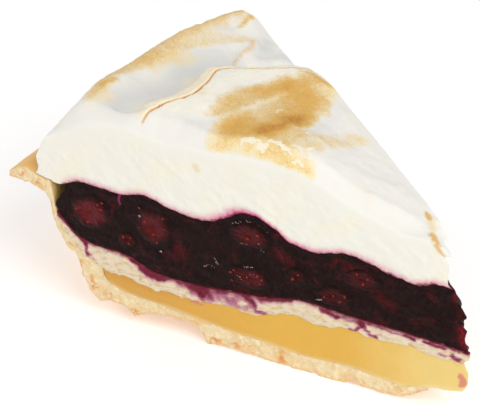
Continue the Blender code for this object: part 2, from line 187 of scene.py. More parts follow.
# The valley behind the lip: how deep, how far behind it, further where gentle, its reach, its sides.
VALLEY_DEPTH = 3.6
VALLEY_OFFSET = 8.0
VALLEY_GENTLE_OFFSET = 0.9
VALLEY_LENGTH = 5.2
VALLEY_SIDE = 0.12
# The torn skin stands up in a ridge beyond a groove: (ridge's distance, ridge's reach), groove's reach.
SKIN_RIDGE = (0.80, 0.50)
SKIN_GROOVE = 0.30
# Rounded swells: (r, place across the cut, height, reach along, reach across).
SWELLS = (
    (103.0, 0.19, 3.6, 6.5, 0.14),
    (95.0, 0.37, -1.4, 6.5, 0.12),
    (105.5, 0.4, 1.6, 5.0, 0.14),
    (105.0, 0.66, 2.9, 6.0, 0.2),
    (105.5, 0.92, 2.0, 6.0, 0.12),
    (85.5, 0.78, 2.6, 3.4, 0.07),
    (67.0, 0.13, -1.3, 6.0, 0.1),
    (53.0, 0.3, 1.0, 9.0, 0.16),
    (47.0, 0.72, -1.0, 8.0, 0.14),
    (24.0, 0.55, 0.9, 7.0, 0.3),
)

# Cut berries that show on a face: (r, z, half length, half height).
FRONT_BERRIES = (
    (100.6, 30.6, 6.6, 5.6), (90.3, 25.4, 3.0, 2.6), (82.5, 31.0, 6.0, 6.6), (56.0, 35.6, 6.6, 3.9),
    (56.2, 23.6, 6.6, 3.5), (43.6, 27.6, 3.4, 3.0), (34.0, 24.6, 5.8, 3.1), (27.2, 31.4, 5.6, 3.4),
)
FAR_BERRIES = (
    (97.0, 29.4, 6.2, 5.4), (79.5, 25.8, 5.6, 5.0), (64.5, 31.0, 5.8, 4.2), (49.5, 25.0, 5.8, 3.8),
    (36.5, 30.2, 5.2, 3.4), (22.5, 25.2, 4.8, 3.2),
)
# How deep a berry reaches, how far its middle is set back, and how far its cut face stands proud.
BERRY_DEPTH = 4.6
BERRY_SET_BACK = 0.4
BERRY_PROUD = 0.35

# Mesh divisions along the slice, across it, and through the layer.
CRUST_BASE_STEPS = 170
CRUST_WALL_STEPS = 90
CRUST_ACROSS = 56
CRUST_THROUGH = 11
LEMON_DIVISIONS = (190, 40, 14)
CREAM_DIVISIONS = (240, 40, 12)
FILLING_DIVISIONS = (220, 44, 48)
MERINGUE_DIVISIONS = (240, 108, 40)
BERRY_SEGMENTS = 56
BERRY_RINGS = 44
# Share of the meringue's divisions on the tip's side of the lip.
LIP_SHARE = 31.0 / 46.0
# How strongly divisions crowd towards the lip, and towards the upper and lower side of a layer.
LIP_CROWDING = 0.55
EDGE_CROWDING = 0.5
MERINGUE_CROWDING = 0.3
# The meringue's upper edges are rounded: how near them and up to which r, and in how many passes.
SOFT_EDGE = 3.2
SOFT_END_R = 112.0
SOFT_PASSES = 14
# Edges stay sharp from this angle in degrees, on most layers and on the softened meringue.
SHARP_ANGLE = 62.0
SOFT_SHARP_ANGLE = 80.0
# Vertices this near a cut face, in mm, lie on it.
ON_FACE = 0.02
# Fractal noise: how far a seed moves it, its roughness exponent and the step between octaves.
NOISE_MOVE = (17.3, 5.1, 11.7)
NOISE_KIND = (0.9, 2.1)

# Where the thin brown edge of the torn skin lies, measured towards the tip from the lip: (v, mm).
TEAR_SET_BACK = (
    (0.0, -1.9), (0.1, -1.3), (0.2, -0.4), (0.3, -0.2), (0.42, -0.3), (0.55, 0.2), (0.62, 1.5),
    (0.66, 2.3), (0.71, 3.4), (0.79, 4.0), (0.89, 3.1), (0.96, 2.2), (1.0, 1.6),
)
# How far the skin is torn: (v, share).
TEAR_SHARE = (
    (0.0, 0.0), (0.035, 0.0), (0.055, 0.55), (0.1, 0.6), (0.135, 1.0), (0.18, 0.6), (0.24, 0.6),
    (0.3, 1.0), (0.35, 0.6), (0.45, 0.55), (0.54, 0.35), (0.64, 0.10), (0.85, 0.08), (0.95, 0.0),
    (1.0, 0.0),
)
# How much further than in the solids the top stays level behind the torn edge: (v, mm).
LIP_LEVEL = (
    (0.0, 0.0), (0.06, 0.6), (0.14, 2.8), (0.3, 3.6), (0.45, 4.4), (0.62, 3.4), (0.72, 0.0),
    (1.0, 0.0),
)
# Brown line of the tear: its reach where the skin is whole, and how much narrower where it is torn.
TEAR_REACH = 0.44
TEAR_NARROWING = 0.22
# How far the peach skin reaches behind the tear, at the front face and further in, and its fade. Near the
# tear the peach is the skin's own colour; further back it is widened over the shaded slope behind the lip as
# a painted highlight.
SKIN_REACH = (0.4, 6.4)
SKIN_FADE = 6.0
# Painted shade behind the lip, a greyer white: its distance and its reach.
PAINTED_SHADE_OFFSET = 12.4
PAINTED_SHADE_LENGTH = 3.8
# The large browned patch ends raggedly near the front face: (r or v, fade) of its bounds.
PATCH_END = (68.8, 1.8)
PATCH_BEYOND = (76.0, 4.0)
PATCH_INSIDE = (0.11, 0.05)
# Juice bleeds up most around this r, within this reach, and not beyond the last r.
BLEED_R = 53.0
BLEED_LENGTH = 13.0
BLEED_END_R = 110.0
# How ragged the edges of strokes are: (share of their reach, size of the raggedness in mm).
RAGGED = {
    "toast": (0.36, 4.0), "pale": (0.8, 3.0), "gold": (0.7, 1.2), "shade": (0.4, 3.0),
    "fleck": (1.3, 1.2), "yellow": (0.3, 2.0), "red": (0.6, 1.5), "stain": (0.6, 2.0),
    "clean": (0.6, 1.5), "crust": (0.7, 2.0),
}

# Brush strokes on the top: (strength, reach in mm, points as (r, v)). Toast is browned meringue.
TOAST_STROKES = (
    (0.34, 3.0, ((71.6, 0.38), (71.2, 0.48), (69.8, 0.57), (67.4, 0.68), (66.0, 0.82), (65.4, 0.94))),
    (0.30, 3.6, ((69.2, 0.28), (67.4, 0.42), (66.6, 0.56), (65.4, 0.70))),
    (0.36, 5.0, ((64.0, 0.21), (61.4, 0.36), (60.8, 0.52), (61.4, 0.66))),
    (0.22, 4.2, ((61.6, 0.74), (62.6, 0.92))),
    (0.36, 4.2, ((64.0, 0.18), (59.5, 0.18), (56.0, 0.24), (54.4, 0.36), (54.4, 0.50), (56.0, 0.62))),
    (0.46, 3.0, ((56.6, 0.21), (54.8, 0.31), (54.8, 0.41), (55.4, 0.52))),
    (0.22, 3.2, ((57.0, 0.74), (58.4, 0.88))),
    (0.20, 1.8, ((67.6, 0.90), (64.4, 0.965))),
    (0.26, 3.0, ((52.6, 0.18), (49.4, 0.25), (47.6, 0.36))),
    (0.22, 2.0, ((50.0, 0.13), (46.8, 0.15), (44.4, 0.19), (43.6, 0.25))),
    (0.26, 3.8, ((46.0, 0.36), (44.4, 0.50), (44.2, 0.66), (44.8, 0.80))),
    (0.10, 3.0, ((50.4, 0.90), (54.0, 0.93))),
    (0.26, 2.2, ((69.0, 0.06), (64.6, 0.07), (60.4, 0.07), (55.6, 0.07), (50.0, 0.07), (45.6, 0.06),
                 (41.8, 0.05))),
    (0.12, 1.0, ((67.5, 0.02), (61.6, 0.03), (56.9, 0.03), (50.5, 0.03), (45.1, 0.02), (41.0, 0.01))),
    (0.20, 1.8, ((53.0, 0.05), (47.0, 0.05), (41.6, 0.04))),
    (0.14, 1.8, ((73.6, 0.17), (71.8, 0.21), (71.6, 0.30))),
    (0.18, 1.3, ((79.4, 0.30), (77.6, 0.31))),
    (0.40, 3.6, ((102.8, 0.12), (103.4, 0.24), (104.0, 0.36), (104.6, 0.48), (104.4, 0.60), (104.6, 0.72),
                 (105.2, 0.90))),
    (0.27, 3.6, ((100.0, 0.44), (98.8, 0.56), (98.0, 0.66), (97.2, 0.76), (95.8, 0.83))),
    (0.36, 0.6, ((103.4, 0.975), (101.4, 0.945), (100.0, 0.90), (99.4, 0.875))),
    (0.36, 1.0, ((106.0, 0.86), (105.6, 0.95))),
    (0.16, 2.6, ((97.8, 0.11), (98.9, 0.08), (100.6, 0.045))),
    (0.30, 1.0, ((101.6, 0.16), (100.4, 0.20))),
    (0.18, 0.5, ((91.9, 0.88), (90.5, 0.82), (90.0, 0.75))),
    (0.28, 1.2, ((17.6, 0.80), (15.0, 0.62), (12.6, 0.42), (10.6, 0.16))),
    (0.18, 2.4, ((31.0, 0.14), (27.6, 0.16))),
)
# Paler bands where the spoon drew white meringue through the browned skin.
PALE_STROKES = (
    (0.16, 1.0, ((71.5, 0.17), (68.4, 0.23), (66.2, 0.312), (65.4, 0.44), (65.0, 0.56), (64.0, 0.70))),
    (0.24, 1.4, ((46.4, 0.32), (48.4, 0.44), (50.8, 0.62), (52.4, 0.79), (55.1, 0.886), (57.6, 0.95))),
    (0.20, 1.2, ((97.0, 0.62), (94.8, 0.70), (93.0, 0.79))),
)
# Thin golden edges of the folds, and the burnt marks at the tip.
GOLD_STROKES = (
    (0.34, 0.75, ((89.6, 0.725), (90.2, 0.80), (91.5, 0.868))),
    (0.52, 0.55, ((18.2, 0.83), (17.2, 0.75), (16.4, 0.69))),
    (0.56, 0.80, ((12.0, 0.33), (10.4, 0.12), (9.2, 0.0))),
)
# Painted highlight: cream-white paint on the swells in front of the torn edge, where they catch the light.
HIGHLIGHT_STROKES = (
    (1.0, 3.2, ((81.0, 0.16), (78.6, 0.24), (77.6, 0.32), (77.2, 0.42), (77.2, 0.52), (75.4, 0.62),
                (72.6, 0.74))),
    (0.5, 1.6, ((75.6, 0.20), (73.2, 0.26))),
)
# Painted shade: greyer white in the hollows of the spooned top.
PAINTED_SHADE_STROKES = (
    (0.8, 2.4, ((88.8, 0.88), (88.2, 0.93), (86.6, 0.97), (85.4, 0.99))),
    (0.7, 1.3, ((96.2, 0.58), (94.6, 0.65), (92.6, 0.72), (91.6, 0.76))),
    (0.5, 1.8, ((101.8, 0.79), (100.4, 0.83))),
    (0.6, 1.4, ((91.6, 0.94), (90.6, 0.90))),
    (0.3, 2.6, ((71.8, 0.13), (69.0, 0.16), (74.4, 0.10))),
    (0.3, 1.6, ((46.6, 0.28), (50.6, 0.62), (52.2, 0.79), (55.1, 0.90))),
)
# Cream flecks where the browned skin has flaked off: (strength, reach in mm, points as (r, v)).
FLECK_STROKES = (
    (1.0, 0.80, ((59.6, 0.090), (57.6, 0.100), (55.6, 0.088), (53.6, 0.078))),
    (1.0, 0.58, ((53.5, 0.124), (51.4, 0.120), (49.3, 0.112), (47.4, 0.096))),
    (1.0, 0.58, ((47.6, 0.156), (45.6, 0.150), (44.2, 0.168), (43.4, 0.215))),
    (1.0, 0.50, ((45.9, 0.056), (43.6, 0.054))),
    (1.0, 0.46, ((60.3, 0.465), (60.0, 0.505))),
    (0.9, 0.34, ((50.2, 0.31), (48.6, 0.38))),
)
# Folds of the spooned top: (height in mm, reach in mm, points as (r, v)).
FOLD_STROKES = (
    (0.55, 1.5, ((100.7, 0.52), (97.6, 0.60), (94.5, 0.66), (93.5, 0.72), (93.8, 0.79))),
    (-0.70, 1.5, ((95.2, 0.55), (93.4, 0.64), (91.6, 0.69), (90.4, 0.75))),
    (1.20, 1.0, ((89.6, 0.74), (90.4, 0.80), (91.4, 0.868))),
    (1.60, 0.9, ((91.6, 0.858), (91.0, 0.875))),
    (0.90, 1.4, ((93.6, 0.84), (93.0, 0.90), (91.5, 0.97))),
    (-1.00, 1.5, ((88.6, 0.86), (87.4, 0.92), (86.6, 0.98))),
    (0.30, 0.5, ((85.4, 0.91), (84.0, 0.97))),
    (0.35, 0.7, ((102.8, 0.96), (100.4, 0.925), (98.4, 0.875))),
    (-0.40, 2.0, ((101.0, 0.83), (99.6, 0.80))),
    (0.30, 1.6, ((69.0, 0.18), (66.2, 0.36), (65.9, 0.53), (66.8, 0.72))),
    (-0.30, 1.8, ((72.5, 0.16), (70.0, 0.27), (69.6, 0.38))),
    (0.28, 1.6, ((45.5, 0.39), (48.6, 0.47), (52.3, 0.70), (55.5, 0.88))),
    (0.40, 1.0, ((86.0, 0.10), (89.5, 0.16), (90.4, 0.24))),
    (0.30, 1.6, ((38.0, 0.30), (33.0, 0.42), (27.0, 0.60))),
    (-0.30, 2.2, ((34.0, 0.18), (27.0, 0.32), (20.0, 0.52))),
    (0.26, 1.0, ((101.0, 0.30), (99.0, 0.24), (95.0, 0.21))),
)
# Browned marks that run down the front face at the tip: (strength, reach in mm, points as (r, z)).
FACE_TOAST_STROKES = ((0.55, 0.6, ((9.8, 46.0), (8.6, 44.6), (7.9, 43.6))),)

# Strokes on a cut face: (strength, reach in mm, points as (r, z)). Juice that has run into the
# cream layer comes first, then places of it that stayed clean.
STAIN_STROKES = (
    (1.3, 1.0, ((88.8, 19.2), (87.0, 18.2), (85.0, 17.2), (82.4, 16.4), (80.0, 16.4))),
    (0.9, 0.8, ((86.8, 17.0), (84.2, 15.8), (81.6, 15.4))),
    (1.2, 1.9, ((71.4, 16.2), (69.0, 15.2))),
    (0.72, 2.4, ((68.5, 15.2), (65.0, 15.6), (61.5, 15.4), (57.5, 15.8))),
    (1.0, 0.9, ((57.4, 18.0), (55.4, 16.4), (54.2, 14.4), (52.0, 14.0))),
    (0.6, 0.9, ((76.0, 15.6), (73.0, 15.8))),
    (0.7, 1.0, ((53.0, 17.6), (49.0, 18.9), (45.0, 19.8))),
    (1.1, 0.7, ((37.0, 19.6), (34.6, 19.0), (33.0, 18.8))),
    (0.6, 0.7, ((33.0, 18.8), (30.4, 18.8), (27.8, 18.9))),
    (1.1, 0.55, ((26.8, 19.4), (26.6, 18.0), (28.0, 16.6), (29.4, 16.4))),
    (1.1, 0.55, ((26.0, 19.0), (25.4, 17.4), (24.2, 16.2), (22.8, 15.9))),
    (0.6, 0.35, ((24.8, 19.2), (20.2, 18.8), (16.4, 18.6))),
    (1.1, 0.55, ((102.6, 20.6), (102.4, 18.7), (102.1, 17.2))),
    (1.0, 0.50, ((111.0, 29.6), (110.6, 28.4), (107.6, 25.2), (104.6, 22.4), (102.6, 21.4))),
    (0.5, 0.35, ((101.8, 18.2), (100.4, 16.4), (99.4, 15.6))),
    (0.5, 0.5, ((109.6, 26.0), (108.8, 25.2))),
    (1.0, 0.45, ((15.6, 18.7), (13.2, 18.4))),
    (0.9, 0.40, ((11.0, 18.6), (8.2, 18.2), (5.6, 18.0))),
    (0.8, 0.45, ((7.0, 16.4), (5.4, 16.0))),
    (0.5, 0.30, ((23.0, 17.4), (19.6, 16.8))),
    (1.3, 0.60, ((3.6, 16.4), (2.0, 15.9))),
    (0.5, 0.35, ((87.2, 14.2), (86.6, 14.0))),
)
CLEAN_STROKES = (
    (1.0, 0.8, ((58.4, 15.2), (57.4, 15.5))),
    (0.8, 0.7, ((53.4, 15.4), (52.4, 15.2))),
    (0.7, 0.6, ((67.4, 16.6), (65.6, 14.2))),
)
# Threads of juice that hang from the meringue over the gel.
JUICE_THREADS = ((1.0, 0.40, ((91.2, 39.2), (91.9, 37.6), (92.2, 36.4), (91.8, 35.2))),)
# Thin red places of the gel: (strength, reach in mm, points as (r, z)).
RED_STROKES = (
    (1.0, 0.9, ((2.2, 24.6), (1.6, 22.6), (1.2, 20.8))),
    (0.8, 0.7, ((4.4, 33.6), (3.8, 32.2))),
    (0.5, 1.6, ((29.2, 33.6), (25.0, 31.6))),
    (0.4, 1.4, ((48.6, 33.0), (46.4, 31.2))),
    (0.4, 1.2, ((22.0, 27.4), (19.6, 26.2))),
    (0.4, 1.2, ((76.0, 27.6), (74.0, 25.6))),
)
# Pink and orange marks on the lemon filling.
LEMON_MARKS = (
    (1.1, 1.0, ((1.4, 11.6), (0.3, 10.0), (1.0, 9.0))),
    (0.6, 0.5, ((3.4, 15.0), (2.2, 14.2))),
    (0.8, 0.8, ((72.2, 11.8), (69.4, 11.6))),
)
# Painted glints on the front of the fruit gel: pale beads in rows, points as (r, z).
GLINT_ROWS = (
    ((60.7, 38.0), (57.4, 39.8), (54.0, 39.6), (50.7, 37.6)),
    ((58.6, 33.1), (55.9, 33.6), (53.8, 34.2), (52.1, 31.3)),
    ((65.5, 26.9), (64.6, 25.2)),
    ((69.0, 23.2), (67.5, 24.3), (65.0, 23.9)),
    ((57.4, 26.4), (55.4, 27.0)),
    ((59.1, 23.4), (57.6, 22.6), (55.9, 24.6), (53.2, 23.1)),
    ((86.4, 33.3), (86.1, 33.6)),
    ((80.6, 24.5), (80.4, 24.6)),
    ((38.4, 22.6), (36.9, 23.0)),
)
# Yellow spots on the cut meringue.
YELLOW_SPOTS = (
    (0.9, 1.3, ((70.6, 51.0), (70.0, 50.6))),
    (0.6, 0.7, ((86.2, 47.2), (85.8, 46.6))),
    (0.6, 0.6, ((50.6, 51.6), (50.0, 51.4))),
    (0.35, 1.0, ((59.4, 50.2), (57.0, 50.4))),
    (0.30, 0.5, ((87.8, 48.6), (87.0, 46.0), (85.6, 44.4), (82.8, 43.8), (80.6, 45.4))),
)
# Browned spots of the cut crust. Loose crumbs lie at the start of each.
CRUST_SPOTS = (
    (1.0, 1.5, ((100.6, 8.3), (101.6, 10.6))),
    (0.8, 1.0, ((97.4, 6.4), (96.2, 6.8))),
    (0.9, 1.2, ((88.4, 3.2), (89.4, 3.6))),
    (0.8, 0.7, ((109.2, 22.6), (109.9, 23.8))),
    (0.8, 0.8, ((106.6, 18.8), (107.4, 19.6))),
    (0.7, 1.0, ((104.4, 13.2), (104.6, 14.6))),
    (1.0, 1.3, ((66.6, 0.9), (64.4, 1.6))),
    (0.8, 0.8, ((61.0, 1.6), (59.2, 1.4))),
    (1.0, 1.3, ((48.4, 2.6), (46.4, 1.0))),
    (0.6, 0.9, ((38.6, 1.2), (36.8, 1.4))),
    (0.6, 0.8, ((26.4, 1.6), (25.0, 1.4))),
    (0.9, 0.8, ((121.4, 36.8), (120.2, 37.0))),
    (0.7, 0.8, ((117.6, 35.4), (116.0, 35.0))),
    (0.6, 0.8, ((113.0, 30.0), (112.8, 28.4))),
)
# The far face is another cut through the same layers: its marks lie this much further in.
FAR_FACE_SHIFT = 9.0
FAR_FACE_DROP = 3.0
# No loose crumbs lie on the steep part of the wall, between these r.
STEEP_WALL = (103.0, 116.0)

# How dark the cut flesh of each berry is, from 0 to 1.
BERRY_DIM = (0.0, 0.55, 0.25, 0.35, 0.40, 0.75, 0.60, 0.55)

# Orange-red seeds on the cut berries, as shares of the half length and half height.
SEED_SPOTS = (
    ((-0.62, 0.02), (0.36, 0.52), (0.55, 0.66), (0.50, 0.30), (-0.1, -0.5)),
    ((0.2, -0.4), (-0.3, 0.2), (0.4, 0.3)),
    ((-0.38, 0.18), (0.02, -0.30), (0.50, 0.05), (0.46, 0.50), (-0.62, 0.72), (0.16, -0.62)),
    ((-0.1, -0.2), (0.3, 0.2)),
    ((-0.76, 0.10), (-0.62, 0.34), (0.34, 0.34), (0.52, 0.10), (0.44, -0.28), (-0.70, -0.55),
     (0.2, 0.4)),
    ((0.1, 0.2), (-0.3, -0.3)),
    ((0.0, 0.1), (0.3, -0.3), (-0.4, -0.2), (0.5, 0.3)),
    ((0.3, 0.2), (-0.2, 0.4), (0.1, -0.3)),
)

# The studio, in metres.
FLOOR_HALF = 1.5
LIGHT_SIZE = 0.50
RIM_LIGHT_AT = (-0.52, -0.42, 0.44)
TIP_LIGHT_AT = (0.54, -0.10, 0.52)


def tone(red, green, blue):
    """Return a colour given in 8-bit screen values as the linear values that shaders use."""
    shares = (value / 255.0 for value in (red, green, blue))
    return tuple(s / 12.92 if s <= 0.04045 else ((s + 0.055) / 1.055) ** 2.4 for s in shares)


def colour_property(name, description, *screen):
    return FloatVectorProperty(name=name, description=description, default=tone(*screen),
                               subtype="COLOR", size=3, min=0.0, max=1.0)


def length_property(name, description, millimetres):
    return FloatProperty(name=name, description=description, default=millimetres * MM,
                         min=0.0, precision=5, unit="LENGTH")


class PieSizes(bpy.types.PropertyGroup):
    """Sizes of the fine relief and of the loose bits."""

    overlap: length_property("Layer overlap", "How far two layers reach into each other", 0.28)
    edge_round: length_property("Edge round", "How far a layer's cut edge falls back", 0.22)
    crumb_relief: length_property("Crumb relief", "Height of the crumb on the cut crust", 0.48)
    baked_relief: length_property("Baked relief", "Height of the bubbles on the baked crust", 0.35)
    cream_relief: length_property("Cream relief", "Height of the flakes of the cream layer", 0.40)
    gel_relief: length_property("Gel relief", "Height of the uneven cut of the fruit gel", 0.28)
    smear_relief: length_property("Smear relief", "Height of the knife's smears on the meringue", 0.19)
    skin_lift: length_property("Skin lift", "How far the torn skin of the meringue stands up", 0.50)
    seed_length: length_property("Seed length", "Length of a berry seed", 0.95)
    crumb_size: length_property("Crumb size", "Largest half width of a loose crumb", 0.80)
    crumb_count: IntProperty(name="Crumbs", description="Crumbs beside each browned spot of the crust",
                             default=4, min=0)
    # The beads are painted glints: pale specks standing for highlights on the wet gel.
    bead_count: IntProperty(name="Juice beads", description="Wet beads in each row on the gel",
                            default=13, min=0)
    seed: IntProperty(name="Seed", description="Start of the random draws", default=11, min=0)


class PieColours(bpy.types.PropertyGroup):
    """Colours of the layers, their stains and their browning, and the painted light, shade and glints on
    them.
    """

    # Painted light: meringue_top is a lighter copy of the cut face's white, for the top that catches more
    # light.
    meringue: colour_property("Meringue", "White of the cut meringue", 243, 240, 228)
    meringue_warm: colour_property("Warm meringue", "Warmer streaks of the cut", 246, 240, 218)
    meringue_top: colour_property("Meringue top", "White of the baked top", 244, 241, 233)
    # Painted shade: greyer white behind the lip and in the hollows of the top.
    meringue_painted_shade: colour_property("Meringue hollow", "Greyer white behind the lip", 217, 217, 214)
    # Painted highlight on the swells in front of the torn edge.
    meringue_highlight: colour_property("Meringue cream", "Cream-white swells of the top", 252, 246, 229)
    # Peach skin: its own colour near the tear, and a painted highlight further back on the shaded slope.
    skin: colour_property("Skin", "Peach skin behind the torn edge", 255, 240, 212)
    # Painted highlight: the yellow browning along the cut edge is real, and it is painted lighter than the
    # pale toast where the bevel faces the light.
    toast_edge_lit: colour_property("Edge toast", "Yellow browning along the cut edge", 255, 228, 162)
    toast_pale: colour_property("Pale toast", "First browning of the meringue", 242, 218, 166)
    toast_gold: colour_property("Golden toast", "Golden browning of the meringue", 229, 180, 94)
    toast_brown: colour_property("Brown toast", "Darkest browning of the meringue", 196, 126, 30)
    tear: colour_property("Torn skin", "Edge of the torn skin", 208, 98, 22)
    tear_dark: colour_property("Dark tear", "Darkest parts of the torn edge", 132, 42, 12)
    fleck: colour_property("Fleck", "Cream where the skin flaked off", 255, 243, 218)
    bleed: colour_property("Juice bleed", "Pink where juice has run into the meringue", 214, 84, 138)
    gel: colour_property("Gel", "Dark fruit gel", 25, 11, 10)
    gel_streak: colour_property("Gel streak", "Paler streaks of the gel", 48, 24, 24)
    thread: colour_property("Juice thread", "Thread of juice over the gel", 168, 52, 104)
    # Painted glints: pale bead colours that stand for highlights on the wet gel.
    bead: colour_property("Wet bead", "Wet bead of juice", 196, 186, 190)
    bead_dark: colour_property("Dark bead", "Darker parts of a bead", 120, 92, 100)
    gel_red: colour_property("Red gel", "Thin gel where light shines through", 128, 22, 34)
    flesh: colour_property("Berry flesh", "Cut flesh of a berry", 98, 36, 42)
    flesh_red: colour_property("Red flesh", "Redder flesh beside the seeds", 102, 20, 20)
    flesh_vein: colour_property("Berry veins", "Dark veins of the flesh", 52, 20, 24)
    flesh_pale: colour_property("Pale flesh", "Pale specks of the flesh", 150, 84, 88)
    seed: colour_property("Berry seed", "Berry seed", 158, 44, 20)
    seed_dark: colour_property("Dark seed", "Darker parts of a berry seed", 120, 30, 22)
    cream: colour_property("Cream", "Pale cream layer", 239, 223, 195)
    cream_light: colour_property("Light cream", "Highlights of the flakes", 255, 250, 236)
    cream_fleck: colour_property("Cream flecks", "Golden flecks of the cream layer", 228, 178, 92)
    # Painted shade: darker cream in the hollows between the flakes.
    cream_shade: colour_property("Cream hollows", "Hollows between the flakes", 222, 194, 148)
    stain: colour_property("Juice stain", "Strong stain on the cream layer", 116, 19, 46)
    stain_pale: colour_property("Pale stain", "Weak stain on the cream layer", 196, 122, 148)
    lemon: colour_property("Lemon", "Lemon filling", 229, 179, 70)
    lemon_deep: colour_property("Deep lemon", "Lemon filling near the rim", 218, 162, 66)
    lemon_corner: colour_property("Lemon corner", "Orange corner under the rim", 204, 140, 50)
    lemon_light: colour_property("Light lemon", "Pale grains of the lemon filling", 250, 214, 132)
    lemon_pink: colour_property("Pink lemon", "Juice marks on the lemon filling", 214, 118, 112)
    lemon_tip: colour_property("Tip lemon", "Paler lemon filling at the tip", 238, 208, 126)
    crumb: colour_property("Crust crumb", "Cut crumb of the crust", 244, 222, 176)
    # Painted highlight: paler crumb on the raised grains of the cut crust.
    crumb_highlight: colour_property("Light crumb", "Pale flakes of the crumb", 253, 243, 216)
    crumb_gold: colour_property("Golden crumb", "Golden parts of the crumb", 238, 190, 118)
    crumb_orange: colour_property("Orange crumb", "Butter-browned spots of the crumb", 232, 158, 84)
    baked: colour_property("Baked crust", "Baked outside of the crust", 248, 204, 142)
    baked_light: colour_property("Light crust", "Paler grains of the outside", 232, 186, 128)
    baked_dark: colour_property("Dark crust", "Well baked parts of the outside", 226, 168, 98)
    # The inner side's golden crust is painted near full brightness: its own baked colour, lifted as painted
    # light against the shade in the narrow pocket by the wall.
    baked_inside: colour_property("Inner crust", "Golden inner wall and top of the rim", 255, 204, 126)
    floor: colour_property("Floor", "Studio floor", 246, 246, 246)
    floor_shade: colour_property("Floor shade", "Faintly darker parts of the floor", 243, 243, 244)


class PieStudio(bpy.types.PropertyGroup):
    """Camera and lights."""

    azimuth: FloatProperty(name="Azimuth", description="Turn of the camera round the slice",
                           default=math.radians(43.594), subtype="ANGLE")
    elevation: FloatProperty(name="Elevation", description="Height of the camera above the horizon",
                             default=math.radians(31.0), subtype="ANGLE")
    distance: length_property("Distance", "Camera to the point it looks at", 387.408)
    target: FloatVectorProperty(name="Target", description="Point the camera looks at",
                                default=(-0.014213, 0.000332, 0.028447), subtype="TRANSLATION",
                                unit="LENGTH")
    lens: FloatProperty(name="Lens", description="Focal length in millimetres", default=112.5, min=1.0)
    rim_power: FloatProperty(name="Rim light", description="Power of the soft light on the rim's side",
                             default=1.0, min=0.0, unit="POWER")
    tip_power: FloatProperty(name="Tip light", description="Power of the large light beyond the tip",
                             default=2.42, min=0.0, unit="POWER")
    ambient: FloatProperty(name="Ambient", description="Strength of the pale surroundings",
                           default=0.56, min=0.0)


def smooth_line(points):
    """Return a function that follows the points smoothly and never overshoots them."""
    x, y = (np.array(column, dtype=float) for column in zip(*points))
    step = np.diff(x)
    rise = np.diff(y) / step
    slope = np.empty_like(y)
    slope[0], slope[-1] = rise[0], rise[-1]
    product = rise[:-1] * rise[1:]
    total = rise[:-1] + rise[1:]
    safe_total = np.where(total == 0.0, 1.0, total)
    slope[1:-1] = np.where(product > 0.0, 2.0 * product / safe_total, 0.0)

    def line(at):
        at = np.clip(at, x[0], x[-1])
        i = np.clip(np.searchsorted(x, at, side="right") - 1, 0, len(step) - 1)
        t = (at - x[i]) / step[i]
        start = y[i] * (1.0 + 2.0 * t) * (1.0 - t) ** 2 + slope[i] * step[i] * t * (1.0 - t) ** 2
        end = y[i + 1] * t * t * (3.0 - 2.0 * t) + slope[i + 1] * step[i] * t * t * (t - 1.0)
        return start + end

    return line


def smooth_outline(points):
    """Return a function from a share of the outline's points, 0 to 1, to (r, z)."""
    shares = np.linspace(0.0, 1.0, len(points))
    along = smooth_line(list(zip(shares, (r for r, z in points))))
    height = smooth_line(list(zip(shares, (z for r, z in points))))
    return lambda t: (along(t), height(t))


def mix(a, b, t):
    """Go from a to b while t goes from 0 to 1."""
    return a + (b - a) * t


def ease(t):
    """Rise smoothly from 0 to 1 while t goes from 0 to 1."""
    t = np.clip(t, 0.0, 1.0)
    return t * t * (3.0 - 2.0 * t)


def bell(t):
    """Rise to 1 at 0 and fall off on both sides, to almost nothing at 2."""
    return np.exp(-t * t)


def crowd(t, amount):
    """Move evenly spread shares towards both ends of 0 to 1."""
    return t - amount * np.sin(2.0 * math.pi * t) / (2.0 * math.pi)


def place(r, v, z):
    """Return the points in metres, one row each."""
    angle = mix(-HALF_ANGLE, HALF_ANGLE, v)
    x = APEX_X - r * np.cos(angle)
    y = r * np.sin(angle) + (2.0 * v - 1.0) * TIP_HALF_WIDTH
    return np.stack((x, y, z), axis=-1) * MM


def slanted(tip_r, v):
    """Move the tip's r further back towards the far face."""
    return tip_r + v * (TIP_SLANT + TIP_SLANT_SHARE * tip_r)


def width_at(r):
    """Distance from the front face to the far face, along the arc at r."""
    return np.maximum(r, 0.0) * 2.0 * HALF_ANGLE


def layer_line(points):
    """Return height as a function of r and v: the front face's line, drifting across the cut."""
    front = smooth_line(points)

    def line(r, v):
        fade = ease((CRUST_BASE_END_R - r) / LINE_DRIFT_FADE)
        drift = LINE_DRIFT * v * np.sin(r / LINE_DRIFT_LENGTH) * fade
        return front(r + drift)

    return line


crust_lemon = layer_line(CRUST_LEMON_LINE)
lemon_cream = layer_line(LEMON_CREAM_LINE)
cream_filling = layer_line(CREAM_FILLING_LINE)
filling_meringue = layer_line(FILLING_MERINGUE_LINE)
lip_line = smooth_line(LIP_LINE)
crest_line = smooth_line(CREST_LINE)
tear_set_back = smooth_line(TEAR_SET_BACK)
tear_share = smooth_line(TEAR_SHARE)
lip_level = smooth_line(LIP_LEVEL)


def uneven(points, size, seed, octaves=3):
    """Return heights between about -1 and 1 at the points, in mm, in bumps of the given size."""
    shift = np.array(NOISE_MOVE) * seed
    return np.array([noise.fractal(p, *NOISE_KIND, octaves) for p in points / size + shift])


